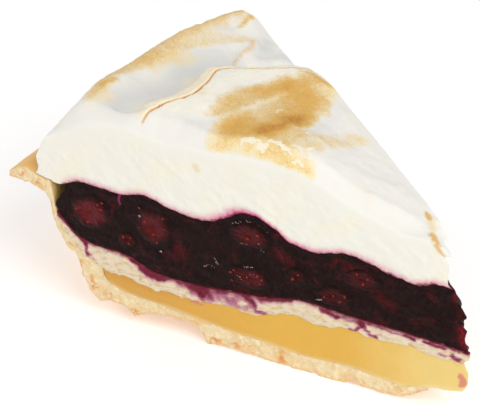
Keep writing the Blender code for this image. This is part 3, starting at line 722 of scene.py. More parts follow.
def strokes(marks, x, y, wander=(0.0, 0.0)):
    """Return how strongly the strokes cover each place, strengths added where they meet.

    The wander moves each place by shares of the stroke's reach, which makes ragged edges.
    """
    cover = np.zeros_like(x)
    for strength, reach, points in marks:
        nearest = np.full_like(x, 1e9)
        at_x, at_y = (at + reach * share for at, share in zip((x, y), wander))
        for (x0, y0), (x1, y1) in zip(points, points[1:]):
            along = (at_x - x0) * (x1 - x0) + (at_y - y0) * (y1 - y0)
            t = np.clip(along / ((x1 - x0) ** 2 + (y1 - y0) ** 2), 0.0, 1.0)
            nearest = np.minimum(nearest, np.hypot(at_x - mix(x0, x1, t), at_y - mix(y0, y1, t)))
        cover = cover + strength * bell(nearest / reach)
    return cover


class Spots:
    """Places on a layer: r, v, z, and distances from its lower and upper side and its cut faces."""

    def __init__(self, r, v, z, above, below):
        self.r, self.v, self.z, self.above, self.below = r, v, z, above, below
        width = width_at(r) + 2.0 * TIP_HALF_WIDTH
        self.across = width * v
        self.behind = np.minimum(self.across, width - self.across)
        self.on_face = (self.behind < ON_FACE).astype(float)
        self.points = place(r, v, z) / MM

    def wander(self, share, size):
        """Uneven moves along and across, for the ragged edges of strokes."""
        return [share * uneven(self.points, size, seed) for seed in (21, 22)] if share else (0.0, 0.0)

    def top_strokes(self, marks, share=0.0, size=1.0):
        """Cover by strokes drawn on the top, whose points are (r, v)."""
        flat = [(s, reach, [(r, width_at(r) * v) for r, v in points]) for s, reach, points in marks]
        return strokes(flat, self.r, width_at(self.r) * self.v, self.wander(share, size))

    def face_strokes(self, marks, share=0.0, size=1.0):
        """Cover by strokes drawn on the front face, repeated further in on the far face."""
        r = np.where(self.v > 0.5, self.r + FAR_FACE_SHIFT, self.r)
        return strokes(marks, r, self.z, self.wander(share, size))

    def rounded(self, overlap, fall):
        """How far the cut edge of the layer falls back where it overlaps its neighbour."""
        edge = np.clip(np.minimum(self.above, self.below) / (2.0 * overlap), 0.0, 1.0)
        return self.on_face * fall * (1.0 - edge) ** 2


def read(items, attribute, width):
    """Return an attribute of all the items, one row each."""
    values = np.empty(len(items) * width)
    items.foreach_get(attribute, values)
    return values.reshape(-1, width)


def block(divisions):
    """Return a closed block, 0 to 1 on each axis and divided on each.

    The slice runs from its tip towards -X, which mirrors the block, so its faces are turned back.
    """
    mesh = bmesh.new()
    bmesh.ops.create_cube(mesh, size=1.0, matrix=Matrix.Translation((0.5, 0.5, 0.5)))
    for axis, count in enumerate(divisions):
        edges = [e for e in mesh.edges if abs(e.verts[1].co[axis] - e.verts[0].co[axis]) > 0.99]
        bmesh.ops.subdivide_edges(mesh, edges=edges, cuts=count - 1, use_grid_fill=True)
    bmesh.ops.reverse_faces(mesh, faces=mesh.faces)
    return mesh


def as_mesh(name, mesh):
    """Turn a bmesh into mesh data and free it."""
    data = bpy.data.meshes.new(name)
    mesh.to_mesh(data)
    mesh.free()
    return data


def as_smooth_mesh(name, mesh):
    """The same for closed bits, shaded smooth and with their normals outwards."""
    for face in mesh.faces:
        face.smooth = True
    bmesh.ops.recalc_face_normals(mesh, faces=mesh.faces)
    return as_mesh(name, mesh)


def paint_field(data, name, values):
    """Store a value for each vertex, for the piece's material to read."""
    kind, key = ("FLOAT_VECTOR", "vector") if values.ndim > 1 else ("FLOAT", "value")
    data.attributes.new(name, kind, "POINT").data.foreach_set(key, values.astype(np.float32).ravel())


def soften(data, spots):
    """Round the upper edges of the meringue by evening out the vertices beside them."""
    mesh = bmesh.new()
    mesh.from_mesh(data)
    mesh.verts.ensure_lookup_table()
    beside = (spots.below < SOFT_EDGE) & (spots.behind < SOFT_EDGE) & (spots.r < SOFT_END_R)
    verts = [mesh.verts[index] for index in np.flatnonzero(beside)]
    for _ in range(SOFT_PASSES):
        bmesh.ops.smooth_vert(mesh, verts=verts, factor=0.5,
                              use_axis_x=True, use_axis_y=True, use_axis_z=True)
    mesh.to_mesh(data)
    mesh.free()


def layer_mesh(name, divisions, shape, relief, fields, soft=False):
    """Map a block by shape, raise it by the relief and store its fields."""
    data = as_mesh(name, block(divisions))
    u, v, w = read(data.vertices, "co", 3).T
    spots = shape(u, v, w)
    points = place(spots.r, spots.v, spots.z)
    data.vertices.foreach_set("co", points.ravel())
    data.update()
    normals = read(data.vertex_normals, "vector", 3)
    points += normals * (relief(spots) * MM)[:, None]
    data.vertices.foreach_set("co", points.ravel())
    data.update()
    if soft:
        soften(data, spots)
    data.shade_smooth()
    data.set_sharp_from_angle(angle=math.radians(SOFT_SHARP_ANGLE if soft else SHARP_ANGLE))
    for field, values in fields(spots).items():
        paint_field(data, field, values)
    return data


def add_piece(name, data, materials, slot, *nodes):
    """Link a mesh as a piece that rides on the slice and stands for its solids."""
    made = bpy.data.objects.new(name, data)
    bpy.context.scene.collection.objects.link(made)
    for material in materials:
        data.materials.append(material)
    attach(made, "root")
    if nodes:
        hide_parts(*nodes)
    return made


def shader_operator(operation):
    """Return an operator of shader values and its reflected form."""
    def forward(self, other):
        return self.paint.node("ShaderNodeMath", {"operation": operation}, {0: self, 1: other})

    def reflected(self, other):
        return self.paint.node("ShaderNodeMath", {"operation": operation}, {0: other, 1: self})

    return forward, reflected


class Wire:
    """A shader value that ordinary arithmetic works on."""

    def __init__(self, paint, socket):
        self.paint, self.socket = paint, socket

    __add__, __radd__ = shader_operator("ADD")
    __sub__, __rsub__ = shader_operator("SUBTRACT")
    __mul__, __rmul__ = shader_operator("MULTIPLY")
    __truediv__, __rtruediv__ = shader_operator("DIVIDE")
    __pow__, __rpow__ = shader_operator("POWER")


class Paint:
    """A material and the nodes that colour it. Sizes are in millimetres."""

    def __init__(self, name):
        self.material = bpy.data.materials.new(name)
        self.material.use_nodes = True
        self.tree = self.material.node_tree
        self.shader = self.tree.nodes["Principled BSDF"]

    def node(self, kind, settings=None, sockets=None, output=0):
        """Make a node: its settings first, then the values or links of its sockets."""
        made = self.tree.nodes.new(kind)
        for name, value in (settings or {}).items():
            setattr(made, name, value)
        for key, value in (sockets or {}).items():
            if isinstance(value, Wire):
                self.tree.links.new(value.socket, made.inputs[key])
            else:
                made.inputs[key].default_value = value
        return Wire(self, made.outputs[output])

    def spot(self, stretch=(1.0, 1.0, 1.0), turn=(0.0, 0.0, 0.0)):
        """Object coordinates, turned and stretched for streaky patterns."""
        at = self.node("ShaderNodeTexCoord", output="Object")
        return self.node("ShaderNodeMapping", {"vector_type": "TEXTURE"},
                         {"Vector": at, "Rotation": turn, "Scale": stretch})

    def field(self, name):
        """Read a value that paint_field stored."""
        return self.node("ShaderNodeAttribute", {"attribute_name": name}, output="Fac")

    def noise(self, size, detail=3.0, roughness=0.55, at=None, distortion=0.0):
        return self.node("ShaderNodeTexNoise", None, {
            "Vector": at or self.spot(), "Scale": 1.0 / (size * MM), "Detail": detail,
            "Roughness": roughness, "Distortion": distortion})

    def cells(self, size, feature="F1", at=None):
        return self.node("ShaderNodeTexVoronoi", {"feature": feature},
                         {"Vector": at or self.spot(), "Scale": 1.0 / (size * MM)})

    def span(self, value, low, high):
        """Go smoothly from 0 to 1 while the value goes from low to high."""
        return self.node("ShaderNodeMapRange", {"interpolation_type": "SMOOTHSTEP"},
                         {0: value, 1: low, 2: high, 3: 0.0, 4: 1.0})

    def blend(self, share, under, over):
        """Lay one colour over another by a share of 0 to 1."""
        under, over = (c if isinstance(c, Wire) else (*c, 1.0) for c in (under, over))
        return self.node("ShaderNodeMix", {"data_type": "RGBA"}, {0: share, 6: under, 7: over}, output=2)

    def bump(self, height, depth, after=None):
        sockets = {"Height": height, "Distance": depth * MM, "Strength": 1.0}
        if after:
            sockets["Normal"] = after
        return self.node("ShaderNodeBump", None, sockets)

    def finish(self, depth=None, **inputs):
        """Set or link the shader's sockets, named with underscores for spaces.

        The depth is how light enters: weight, reach of red, green and blue, and scale in mm.
        """
        if depth:
            weight, radius, scale = depth
            inputs.update(Subsurface_Weight=weight, Subsurface_Radius=radius, Subsurface_Scale=scale * MM)
        for name, value in inputs.items():
            socket = self.shader.inputs[name.replace("_", " ")]
            if isinstance(value, Wire):
                self.tree.links.new(value.socket, socket)
            else:
                socket.default_value = value
        return self.material


def meringue_paint(colours):
    paint = Paint("soft_meringue")
    toast, tear, fleck = paint.field("toast"), paint.field("tear"), paint.field("fleck")
    above, below, behind = paint.field("above"), paint.field("below"), paint.field("behind")
    fine = paint.noise(0.75, 2.0, 0.6)
    coarse = paint.noise(3.2, 3.0, 0.6, distortion=0.6)
    streak = paint.noise(1.6, 3.0, 0.6, paint.spot((3.2, 1.0, 1.0), (0.0, 0.0, math.radians(-28.0))))
    near_face = 1.0 - paint.span(behind, 0.0, 1.2)

    on_top = 1.0 - paint.span(below, 0.2, 1.6)
    grit = paint.noise(0.32, 2.0, 0.6)
    browned = toast
    for pattern, share in ((grit, 0.50), (fine, 0.24), (coarse, 0.20), (streak, 0.16)):
        browned = browned + (pattern - 0.5) * share
    browned = browned * paint.span(toast, 0.0, 0.20)
    sweep = paint.noise(7.0, 2.0, 0.5, paint.spot((3.0, 1.0, 1.0), (0.0, math.radians(-32.0), 0.0)))
    white = paint.blend(paint.span(sweep, 0.46, 0.66) * 0.6, colours.meringue, colours.meringue_warm)
    # Painted light: the top takes the lighter copy of the meringue white.
    white = paint.blend(on_top, white, colours.meringue_top)
    # Painted shade on the top: greyer white behind the lip and in the hollows.
    white = paint.blend(paint.field("painted_shade") * on_top, white, colours.meringue_painted_shade)
    # Painted highlight: the field named cream marks the swells painted cream-white.
    white = paint.blend(paint.field("cream") * on_top, white, colours.meringue_highlight)
    # Near the front face the pale toast turns to a lighter copy: painted highlight on the bevel that faces
    # the light.
    edge = 1.0 - paint.span(behind, 2.4, 6.0)
    pale = paint.blend(edge, colours.toast_pale, colours.toast_edge_lit)
    base = paint.blend(paint.span(browned, 0.02, 0.42), white, pale)
    base = paint.blend(paint.span(browned, 0.24, 0.66), base, colours.toast_gold)
    base = paint.blend(paint.span(browned, 0.62, 1.10), base, colours.toast_brown)
    base = paint.blend(paint.span(fleck + (fine - 0.5) * 0.5, 0.50, 0.66), base, colours.fleck)
    torn = paint.span(tear + (fine - 0.5) * 0.16, 0.46, 0.86)
    # The peach skin: real near the tear, a painted highlight on the shaded slope further back.
    skinned = paint.span(paint.field("skin") + (coarse - 0.5) * 0.4, 0.1, 0.7)
    base = paint.blend(skinned * 0.9, base, colours.skin)
    base = paint.blend(paint.span(tear, 0.04, 0.5) * 0.8, base, colours.toast_gold)
    base = paint.blend(torn, base, colours.tear)
    base = paint.blend(paint.span(tear, 0.84, 1.0) * 0.8, base, colours.tear_dark)
    spot = paint.span(paint.field("yellow") + (fine - 0.5) * 0.9, 0.30, 1.0)
    base = paint.blend(spot * 0.75, base, colours.toast_pale)
    ragged = above + (paint.noise(1.1, 4.0, 0.65) - 0.5) * 1.3
    bled = (1.0 - paint.span(ragged, 0.0, 3.4)) ** 2.0
    reach = paint.field("bleed")
    base = paint.blend(bled * near_face * reach * 1.25, base, colours.bleed)
    seam = (1.0 - paint.span(ragged, 0.15, 0.85)) * near_face * paint.span(reach, 0.0, 0.4)
    base = paint.blend(seam * 0.85, base, colours.stain)

    grain = paint.bump(paint.noise(0.35, 3.0, 0.6), 0.05)
    skin = paint.bump((fine + grit * 0.6) * paint.span(toast, 0.05, 0.5), 0.24, grain)
    soft = paint.bump(paint.noise(2.4, 3.0, 0.5), 0.16, skin)
    return paint.finish(
        Base_Color=base, Roughness=0.62 - paint.span(toast, 0.1, 0.6) * 0.14 + (fine - 0.5) * 0.14,
        Normal=soft, depth=(0.22, (1.0, 0.72, 0.5), 2.2), Specular_IOR_Level=0.35)


def gel_paint(colours):
    paint = Paint("dark_fruit_gel")
    above, below = paint.field("above"), paint.field("below")
    fine = paint.noise(0.5, 4.0, 0.7)
    coarse = paint.noise(4.5, 3.0, 0.6, distortion=0.8)
    streak = paint.noise(1.0, 4.0, 0.65, paint.spot((1.0, 1.0, 3.4), (0.0, math.radians(20.0), 0.0)))
    thin = paint.span(coarse, 0.52, 0.74) * 0.35 + paint.field("thin")
    base = paint.blend(paint.span(streak, 0.35, 0.75) * 0.55, colours.gel, colours.gel_streak)
    base = paint.blend(thin * paint.span(fine, 0.30, 0.62), base, colours.gel_red)
    edge = 1.0 - paint.span(above + (fine - 0.5) * 0.7, 0.1, 0.95)
    base = paint.blend(edge * 0.8, base, colours.stain)
    lip = 1.0 - paint.span(below + (fine - 0.5) * 0.4, 0.05, 0.45)
    base = paint.blend(lip * 0.55, base, colours.stain)
    base = paint.blend(paint.span(paint.field("thread"), 0.35, 0.9) * 0.8, base, colours.thread)
    rough = 0.26 + paint.span(streak, 0.3, 0.8) * 0.22
    wet = paint.bump(paint.noise(0.42, 4.0, 0.65), 0.16)
    return paint.finish(
        Base_Color=base, Roughness=rough, Normal=paint.bump(streak, 0.20, wet), Specular_IOR_Level=0.06,
        depth=(0.05, (1.0, 0.15, 0.15), 1.5))


def berry_paint(colours):
    paint = Paint("cut_berry")
    rim, turn = paint.field("rim"), paint.field("turn")
    fine = paint.noise(0.45, 4.0, 0.65)
    blotch = paint.noise(2.6, 3.0, 0.6, distortion=0.8)
    vein = paint.node("ShaderNodeMath", {"operation": "SINE"}, {0: turn * 11.0 + blotch * 9.0}) * 0.5 + 0.5
    flesh = paint.blend(paint.span(blotch, 0.42, 0.62), colours.flesh, colours.flesh_red)
    flesh = paint.blend(vein * 0.35 * paint.span(rim, 0.2, 0.6), flesh, colours.flesh_vein)
    flesh = paint.blend(paint.span(fine, 0.58, 0.80) * 0.30, flesh, colours.flesh_pale)
    edge = paint.span(rim + (blotch - 0.5) * 0.75 + (fine - 0.5) * 0.25, 0.34, 0.88)
    base = paint.blend(edge, paint.blend(paint.field("dim"), flesh, colours.gel), colours.gel)
    wet = paint.bump(fine, 0.14)
    return paint.finish(
        Base_Color=base, Roughness=0.30 + fine * 0.22, Normal=paint.bump(vein * (1.0 - edge), 0.10, wet),
        Specular_IOR_Level=0.07, depth=(0.10, (1.0, 0.2, 0.2), 1.5))


def seed_paint(colours):
    paint = Paint("berry_seed")
    fine = paint.noise(0.3, 3.0, 0.6)
    base = paint.blend(paint.span(fine, 0.35, 0.7), colours.seed, colours.seed_dark)
    return paint.finish(Base_Color=base, Roughness=0.32 + fine * 0.1, Normal=paint.bump(fine, 0.05),
                        Specular_IOR_Level=0.12)


def bead_paint(colours):
    # Painted glints: pale, glossy beads for the highlights on the gel.
    paint = Paint("painted_glint_bead")
    fine = paint.noise(0.3, 2.0, 0.5)
    base = paint.blend(fine, colours.bead, colours.bead_dark)
    return paint.finish(Base_Color=base, Roughness=0.10 + fine * 0.1, Coat_Weight=0.8, Coat_Roughness=0.05)


def cream_paint(colours):
    paint = Paint("stained_cream")
    stain, clean, above, below = (paint.field(name) for name in ("stain", "clean", "above", "below"))
    flat = paint.spot((2.6, 2.6, 1.0))
    flake = paint.noise(0.9, 4.0, 0.65, flat)
    fine = paint.noise(0.45, 4.0, 0.7)
    coarse = paint.noise(2.2, 3.0, 0.6)
    # Painted shade: darker cream where the flakes are low.
    base = paint.blend(paint.span(flake, 0.56, 0.34), colours.cream, colours.cream_shade)
    base = paint.blend(paint.span(fine, 0.55, 0.75) * 0.5, base, colours.cream_light)
    fleck = paint.span(paint.noise(1.3, 4.0, 0.6, flat), 0.62, 0.72)
    base = paint.blend(fleck * 0.7, base, colours.cream_fleck)
    juice = stain - clean * 0.7 + (coarse - 0.5) * 0.8 * paint.span(stain, 0.1, 0.5) + (fine - 0.5) * 0.45
    seep = below - stain * 1.2 + (coarse - 0.5) * 1.1 + (fine - 0.5) * 0.5
    base = paint.blend((1.0 - paint.span(seep, 0.1, 1.9)) * 0.7, base, colours.stain_pale)
    base = paint.blend(paint.span(juice, 0.05, 0.75), base, colours.stain_pale)
    base = paint.blend(paint.span(juice, 0.40, 1.30), base, colours.stain)
    base = paint.blend((1.0 - paint.span(seep, 0.05, 1.05)) * 0.92, base, colours.stain)
    speck = paint.span(paint.noise(1.6, 4.0, 0.6), 0.66, 0.72) * 0.5
    base = paint.blend(speck, base, colours.stain_pale)
    lemony = 1.0 - paint.span(above + (fine - 0.5) * 0.8, 0.0, 0.55)
    base = paint.blend(lemony * 0.45, base, colours.lemon)
    rough = paint.bump(flake, 0.34, paint.bump(fine, 0.14))
    return paint.finish(
        Base_Color=base, Roughness=0.66 - paint.span(juice, 0.3, 0.9) * 0.15, Normal=rough,
        Specular_IOR_Level=0.2, depth=(0.12, (1.0, 0.7, 0.5), 1.2))


def lemon_paint(colours):
    paint = Paint("lemon_filling")
    along, above, below = paint.field("along"), paint.field("above"), paint.field("below")
    coarse = paint.noise(7.0, 3.0, 0.5, distortion=0.5)
    fine = paint.noise(0.6, 4.0, 0.6)
    place_along = along + (coarse - 0.5) * 14.0
    base = paint.blend(paint.span(place_along, 44.0, 92.0), colours.lemon, colours.lemon_deep)
    base = paint.blend(paint.span(place_along, 34.0, 4.0), base, colours.lemon_tip)
    corner = (1.0 - paint.span(below, 0.0, 2.6)) * paint.span(along, 60.0, 90.0)
    base = paint.blend(corner * 0.5, base, colours.lemon_corner)
    base = paint.blend((1.0 - paint.span(above + (coarse - 0.5) * 1.2, 0.1, 1.9)) * 0.62, base, colours.crumb)
    base = paint.blend(paint.span(fine, 0.62, 0.80) * 0.14, base, colours.lemon_light)
    juice = paint.span(paint.field("stain") + (fine - 0.5) * 0.5, 0.35, 0.85)
    base = paint.blend(juice * 0.8, base, colours.lemon_pink)
    soft = paint.bump(paint.noise(1.8, 4.0, 0.6), 0.16, paint.bump(fine, 0.04))
    return paint.finish(
        Base_Color=base, Roughness=0.34 + coarse * 0.16, Normal=soft,
        depth=(0.30, (1.0, 0.6, 0.2), 2.0), Specular_IOR_Level=0.4)


def crust_paint(colours):
    paint = Paint("shortcrust")
    spots, behind, inner = paint.field("spots"), paint.field("behind"), paint.field("above")
    fine = paint.noise(0.5, 4.0, 0.7)
    grain = paint.noise(1.2, 4.0, 0.65)
    coarse = paint.noise(3.4, 4.0, 0.6, distortion=0.4)
    pits = paint.cells(1.5)

    crumb = paint.blend(paint.span(coarse, 0.42, 0.70) * 0.7, colours.crumb, colours.crumb_gold)
    # Painted highlight on the raised grains of the crumb.
    crumb = paint.blend(paint.span(grain, 0.50, 0.66) * 0.7, crumb, colours.crumb_highlight)
    gold = paint.span(paint.noise(0.9, 3.0, 0.6), 0.60, 0.72)
    crumb = paint.blend(gold * 0.45, crumb, colours.crumb_gold)
    golden = spots + (coarse - 0.5) * 0.9 + (grain - 0.5) * 0.6
    crumb = paint.blend(paint.span(golden, 0.30, 1.10), crumb, colours.crumb_orange)
    edge = 1.0 - paint.span(inner + (coarse - 0.5) * 1.6, 0.0, 0.9)
    crumb = paint.blend(edge * 0.40, crumb, colours.crumb_orange)

    baked = paint.blend(paint.span(coarse, 0.36, 0.66), colours.baked, colours.baked_dark)
    baked = paint.blend(paint.span(grain, 0.54, 0.74) * 0.5, baked, colours.baked_light)
    # Inner side: golden baked crust, lifted as painted light against the shade in the pocket by the wall.
    inside = 1.0 - paint.span(paint.field("below"), 0.3, 0.8)
    baked = paint.blend(inside * 0.8, baked, colours.baked_inside)
    outside = paint.span(behind + (grain - 0.5) * 0.5, 0.12, 0.55)
    base = paint.blend(outside, crumb, baked)
    dents = paint.bump(grain, 0.26, paint.bump(fine, 0.12))
    return paint.finish(
        Base_Color=base, Roughness=0.70 + (fine - 0.5) * 0.2, Normal=paint.bump(pits, 0.08, dents),
        depth=(0.10, (1.0, 0.6, 0.35), 1.0))


def floor_paint(colours):
    paint = Paint("studio_floor")
    cloud = paint.noise(180.0, 2.0, 0.5)
    base = paint.blend(cloud, colours.floor, colours.floor_shade)
    return paint.finish(Base_Color=base, Roughness=0.9, Specular_IOR_Level=0.1,
                        Emission_Color=(1.0, 1.0, 1.0, 1.0), Emission_Strength=0.28)


def layer(lower, upper, tip, rim, overlap, far_corner=0.0):
    """Return the mapping of a block onto a layer between two height functions.

    The upper corner of the tip lies further back on the far face by far_corner.
    """
    tip_line, rim_line = smooth_line(tip), smooth_line(rim)

    def shape(u, v, w):
        w = crowd(w, EDGE_CROWDING)
        r = mix(slanted(tip_line(w), v) + far_corner * v * w * w, rim_line(w), u)
        low, high = lower(r, v) - overlap, upper(r, v) + overlap
        z = mix(low, high, w)
        return Spots(r, v, z, z - low, high - z)

    return shape


def crust_shape(overlap):
    """Return the mapping of the crust: along its base, up its wall and out to the rim edge."""
    front_base, flat_base = smooth_line(FRONT_UNDERSIDE), smooth_line(FLAT_UNDERSIDE)
    front_outer, back_outer, inner = (smooth_outline(side) for side in zip(*CRUST_WALL))
    base_share = CRUST_BASE_STEPS / (CRUST_BASE_STEPS + CRUST_WALL_STEPS)

    def section(u, v):
        """Outer and inner (r, z) of the crust."""
        r = mix(slanted(CRUST_TIP_R, v), CRUST_BASE_END_R, np.clip(u / base_share, 0.0, 1.0))
        behind = ease(width_at(r) * v / FACE_EDGE_DEPTH)
        low = mix(front_base(r), flat_base(r), behind)
        t = np.clip((u - base_share) / (1.0 - base_share), 0.0, 1.0)
        front, back, inside = front_outer(t), back_outer(t), inner(t)
        on_wall = u > base_share
        outer_r = np.where(on_wall, mix(front[0], back[0], behind), r)
        outer_z = np.where(on_wall, mix(front[1], back[1], behind), low)
        inner_r = np.where(on_wall, inside[0], r)
        inner_z = np.where(on_wall, inside[1], crust_lemon(r, v))
        return outer_r, outer_z, inner_r, inner_z

    def shape(u, v, w):
        outer_r, outer_z, inner_r, inner_z = section(u, v)
        thick = np.hypot(inner_r - outer_r, inner_z - outer_z)
        covered = 1.0 - ease((inner_r - COVERED_END_R) / COVERED_FADE)
        reach = 1.0 + covered * overlap / thick
        r = mix(outer_r, inner_r, w * reach)
        z = mix(outer_z, inner_z, w * reach)
        on_rim = ease((r - RIM_START_R) / RIM_FADE)
        wander = on_rim * RIM_WANDER * np.sin(RIM_WAVES * v + 0.6) * v
        return Spots(r + wander, v, z + 0.6 * wander, thick * w, thick * (1.0 - w) + overlap)

    return shape


def meringue_swell(r, v, beyond):
    """Height that the lip, the valley behind it and the soft swells add to the meringue."""
    across = ease(v / VALLEY_SIDE) * ease((1.0 - v) / VALLEY_SIDE)
    steep = ease((v - STEEP_START) / STEEP_SPAN)
    drop = ease((mix(*LIP_FALL, steep) + lip_level(v) - beyond) / mix(*LIP_FALL_LENGTH, steep))
    height = crest_line(v) * bell(np.minimum(beyond, 0.0) / CREST_LENGTH) * drop
    offset = VALLEY_OFFSET + mix(VALLEY_GENTLE_OFFSET, 0.0, steep)
    height -= across * VALLEY_DEPTH * bell((beyond - offset) / VALLEY_LENGTH)
    for centre_r, centre_v, rise, reach_r, reach_v in SWELLS:
        height += rise * bell((r - centre_r) / reach_r) * bell((v - centre_v) / reach_v)
    return height


def torn(r, v):
    """Distance past the torn edge of the skin, in mm, and how far it is torn there, 0 to 1."""
    return r - lip_line(v) + tear_set_back(v), tear_share(v)


def meringue_shape(overlap, skin_lift):
    """Return the mapping of the meringue between the filling and its swelling top."""
    front_top, far_top = smooth_outline(MERINGUE_FRONT), smooth_outline(MERINGUE_FAR)
    tip_line, rim_line = smooth_line(MERINGUE_TIP), smooth_line(MERINGUE_RIM)

    def open_top(u, v):
        """Top of the meringue before the lip, the swells and the folds."""
        front, far = front_top(u), far_top(u)
        return mix(front[0], far[0], ease(v)), mix(front[1], far[1], ease(v))

    def follow_lip(u, v):
        """Move the divisions along the slice so that one of them runs along the torn lip."""
        low, high = np.zeros_like(v), np.ones_like(v)
        for _ in range(18):
            middle = 0.5 * (low + high)
            short = open_top(middle, v)[0] < lip_line(v)
            low, high = np.where(short, middle, low), np.where(short, high, middle)
        near = crowd(np.clip(u / LIP_SHARE, 0.0, 1.0), LIP_CROWDING) * low
        past = 1.0 - crowd(np.clip((1.0 - u) / (1.0 - LIP_SHARE), 0.0, 1.0), LIP_CROWDING) * (1.0 - low)
        return np.where(u < LIP_SHARE, near, past)

    def top(u, v):
        """Top of the meringue with all its forms."""
        r, z = open_top(follow_lip(u, v), v)
        ends = ease((r - 8.0) / 12.0) * ease((114.0 - r) / 8.0)
        near = 1.0 - ease(width_at(r) * v / EDGE_DEPTH)
        away = 1.0 - ease(width_at(r) * (1.0 - v) / EDGE_DEPTH)
        swell = meringue_swell(r, v, r - lip_line(v)) - near * FRONT_EDGE_DROP - away * FAR_EDGE_DROP
        past_tear, share = torn(r, v)
        ridge_at, ridge_reach = SKIN_RIDGE
        skin = bell((past_tear - ridge_at) / ridge_reach) - bell(past_tear / SKIN_GROOVE)
        spots = Spots(r, v, z, z, z)
        folds = spots.top_strokes(FOLD_STROKES) * ease(spots.behind / 2.0)
        return r, z + ends * (swell + skin_lift * share * skin + folds)

    def shape(u, v, w):
        r_low = mix(slanted(tip_line(0.0), v), rim_line(0.0), u)
        low = filling_meringue(r_low, v) + mix(-overlap, 0.3, ease(r_low - 111.0))
        r_high, high = top(u, v)
        w = crowd(w, MERINGUE_CROWDING)
        bulge = mix(tip_line(w) - mix(tip_line(0.0), tip_line(1.0), w),
                    rim_line(w) - mix(rim_line(0.0), rim_line(1.0), w), u)
        z = mix(low, high, w)
        return Spots(mix(r_low, r_high, w) + bulge, v, z, z - low, high - z)

    return shape


def make_meringue(sizes, colours):
    """The meringue: smears and lumps on it, where it is browned, torn or stained, and its painted shade and
    highlights.
    """
    overlap = sizes.overlap / MM

    def relief(spots):
        diagonal = np.stack((spots.r * 0.16 + spots.z * 0.12, spots.v * 3.0,
                             spots.z * 0.52 - spots.r * 0.40), axis=-1)
        smear = uneven(diagonal * 0.8, 1.0, 1, 3) * ease(spots.above / 3.0) * ease(spots.below / 4.0)
        lumps = uneven(spots.points, 2.6, 2, 3) * 0.22 + uneven(spots.points, 0.9, 3, 2) * 0.06
        browned = np.clip(spots.top_strokes(TOAST_STROKES), 0.0, 1.0)
        wrinkle = uneven(spots.points * (1.0, 0.6, 1.0), 1.1, 4, 3) * browned
        on_top = 1.0 - ease(spots.below / 0.5)
        return (smear * sizes.smear_relief / MM * spots.on_face + lumps + on_top * wrinkle * 0.22
                - spots.rounded(overlap, sizes.edge_round / MM))

    def fields(spots):
        toast = (spots.top_strokes(TOAST_STROKES, *RAGGED["toast"])
                 - spots.top_strokes(PALE_STROKES, *RAGGED["pale"]))
        toast *= 1.0 - ease(spots.below / 1.3)
        left = spots.r + 0.9 * uneven(spots.points, 2.0, 23, 3)
        end, beyond, inside = (
            ease((at - start) / fade) for at, (start, fade) in
            ((left, PATCH_END), (left, PATCH_BEYOND), (spots.v, PATCH_INSIDE)))
        toast *= 1.0 - end * (1.0 - beyond) * (1.0 - inside)
        toast *= mix(0.68, 1.0, ease((spots.across - 2.6) / 3.6))
        outer = ease((spots.r - 106.0) / 6.0) * ease(spots.behind / 6.0)
        toast = toast + outer * (0.28 - 0.30 * ease(spots.below / 9.0))
        past_tear, share = torn(spots.r, spots.v)
        past_tear = past_tear + 0.12 * uneven(spots.points, 1.6, 24, 3)
        on_top = 1.0 - ease(spots.below / 1.2)
        depth = np.sqrt(share)
        tear = ((0.45 + 0.55 * share) * bell(past_tear / (TEAR_REACH - TEAR_NARROWING * depth))
                * on_top * (share > 0.01))
        tear = np.maximum(tear, spots.top_strokes(GOLD_STROKES, *RAGGED["gold"]) * on_top)
        burnt = strokes(FACE_TOAST_STROKES, spots.r, spots.z)
        tear = np.maximum(tear, burnt * spots.on_face * (spots.v < 0.5))
        reach = mix(*SKIN_REACH, ease((spots.v - 0.08) / 0.1))
        skin = depth * ease((past_tear + 0.2) / 0.6) * (1.0 - ease((past_tear - reach) / SKIN_FADE)) * on_top
        # Painted shade: where the top turns greyer, behind the lip and in the hollows.
        painted_shade = (bell((spots.r - lip_line(spots.v) - PAINTED_SHADE_OFFSET) / PAINTED_SHADE_LENGTH)
                  * ease(spots.v / 0.12) * ease((0.8 - spots.v) / 0.1))
        painted_shade = np.maximum(painted_shade, spots.top_strokes(PAINTED_SHADE_STROKES, *RAGGED["shade"]))
        bleed = 0.55 + 0.45 * bell((spots.r - BLEED_R) / BLEED_LENGTH)
        bleed *= ease((BLEED_END_R - spots.r) / 4.0)
        return {
            "toast": toast, "tear": tear, "skin": skin, "painted_shade": painted_shade,
            # The field named cream holds the painted highlight.
            "cream": np.minimum(spots.top_strokes(HIGHLIGHT_STROKES, *RAGGED["shade"]), 1.0),
            "fleck": spots.top_strokes(FLECK_STROKES, *RAGGED["fleck"]) * (1.0 - ease(spots.below / 0.8)),
            "yellow": spots.face_strokes(YELLOW_SPOTS, *RAGGED["yellow"]) * spots.on_face,
            "bleed": bleed,
            "above": spots.above, "below": spots.below, "behind": spots.behind,
        }

    data = layer_mesh("meringue_top", MERINGUE_DIVISIONS, meringue_shape(overlap, sizes.skin_lift / MM),
                      relief, fields, soft=True)
    add_piece("meringue_top", data, [meringue_paint(colours)], "meringue", "meringue")


